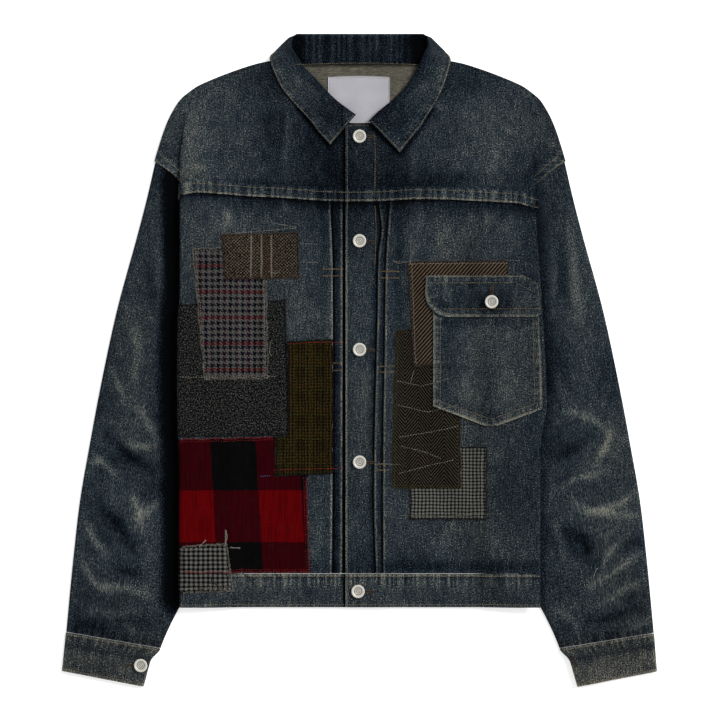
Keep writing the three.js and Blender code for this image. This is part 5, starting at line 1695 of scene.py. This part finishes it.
# Buttonholes: two rows of close brown stitches, and between them a line of dark thread as painted shadow in
# the slit
holes = [((6.5, 256.8), (16.5, 256.4)), ((7.5, 136.7), (17, 136.2)), ((7.5, 11.7), (17, 11.2)),
         ((7.5, -117.6), (16.5, -118)), ((5.5, -266), (15, -266.4)), ((150.9, 75), (151.6, 87)),
         ((-267.5, -350.4), (-258.5, -351)), ((244, -341), (249.5, -352))]
sides, slitShadows = [], []
for (ax, ay), (bx, by) in holes:
    run = math.hypot(bx - ax, by - ay)
    nx, ny = -(by - ay) / run * 0.95, (bx - ax) / run * 0.95
    sides += [drawnRow([(ax + k * nx, ay + k * ny), (bx + k * nx, by + k * ny)], step=1.0) for k in (-1, 1)]
    slitShadows.append(drawnRow([(ax, ay), (bx, by)], step=1.0))
sewn("buttonhole_edges", "brown", sides, pitch=0.6, length=1.9, width=0.5, turn=1.57, wander=0.12, seed=60)
sewn("buttonhole_slit_shadows", "dark", slitShadows, pitch=0.8, length=1.6, width=0.8, seed=61)


def looseThread(name, thread, lines, radius=0.22):
    curve = bpy.data.curves.new(name, "CURVE")
    curve.dimensions = "3D"
    curve.bevel_depth, curve.bevel_resolution = radius * mm, 1
    curve.use_fill_caps = True
    for points in lines:
        control = np.array([points], float)
        fine = curved(control, 8 * len(points))[0]
        spline = curve.splines.new("POLY")
        spline.points.add(len(fine) - 1)
        for target, (x, y) in zip(spline.points, fine):
            target.co = (x * mm, y * mm, landed(x, y, 0.3) * mm, 1)
    drawn = bpy.data.objects.new(name + "_line", curve)
    bpy.context.scene.collection.objects.link(drawn)
    keptMesh(drawn, name, thread)


looseThread("loose_threads_dark", "dark", [
    [(-153, -247), (-160, -243.5), (-168, -246), (-170, -253), (-164, -258)],
    [(-134.6, -245), (-126, -252), (-118, -262)], [(64, -194), (74, -187), (85, -184)],
    [(83, -205), (91, -196), (99, -185)], [(-60, -131), (-52, -136), (-45, -140)],
    [(-150, -247), (-152, -256), (-146, -264)], [(-98, -245.5), (-92, -251)],
    [(-184, -262), (-170, -266), (-160, -262)]], 0.42)
looseThread("loose_threads_pale", "cream", [
    [(102, -186), (106, -190), (104, -195)], [(108, -184), (104, -192), (112, -196)],
    [(38, 115), (44, 111), (50, 112.6)], [(62, -12), (58, -26)], [(-105.5, 102), (-98, 99.5), (-92, 101)],
    [(-102, 22), (-104, 10), (-101, 4)]], 0.18)
looseThread("loose_threads_white", "white", [
    [(-241.5, 49.5), (-239.5, 48.5), (-238, 48.8)], [(-154, -195), (-152.5, -203), (-155, -212)],
    [(268, -250), (271, -242), (273, -239)]], 0.22)
print("loose threads made")


# The stage: a plain pale floor, a soft sky and one broad light from the upper right
studio = {"width": 0.828, "height": 6.0, "sensor": 36, "sky": 0.52, "sun": 3.0, "glow": 0.52,
          "softness": 0.42, "sunTurn": (-24, 40, 0), "floor": (0.9, 0.9, 0.9)}


def makeStage():
    scene = bpy.context.scene
    camera = bpy.data.objects.new("camera", bpy.data.cameras.new("camera"))
    camera.location = (0, 0, studio["height"])
    camera.data.sensor_width = studio["sensor"]
    camera.data.lens = studio["sensor"] * studio["height"] / studio["width"]
    scene.collection.objects.link(camera)
    scene.camera = camera
    sun = bpy.data.objects.new("key", bpy.data.lights.new("key", "SUN"))
    sun.data.energy, sun.data.angle = studio["sun"], studio["softness"]
    sun.rotation_euler = [math.radians(turn) for turn in studio["sunTurn"]]
    scene.collection.objects.link(sun)
    scene.world = bpy.data.worlds.new("sky")
    scene.world.use_nodes = True
    sky = scene.world.node_tree.nodes["Background"]
    sky.inputs["Color"].default_value = (1, 1, 1, 1)
    sky.inputs["Strength"].default_value = studio["sky"]
    scene.view_settings.view_transform = "Standard"
    paper = Finish("pale paper", roughness=1.0, specular=0.0)
    grain = paper.noise(paper.place(), 40, 2)
    finish = paper.done(paper.blend(grain * 0.1, studio["floor"], (0.93, 0.93, 0.93)))
    paper.shader.inputs["Emission Color"].default_value = (1, 1, 1, 1)
    paper.shader.inputs["Emission Strength"].default_value = studio["glow"]
    reach, drop = 3000, -0.05
    corners = [(-reach, -reach, drop), (reach, -reach, drop), (reach, reach, drop), (-reach, reach, drop)]
    floor = meshObject("floor", corners, [(0, 1, 2, 3)], finish)


makeStage()
print("stage made")
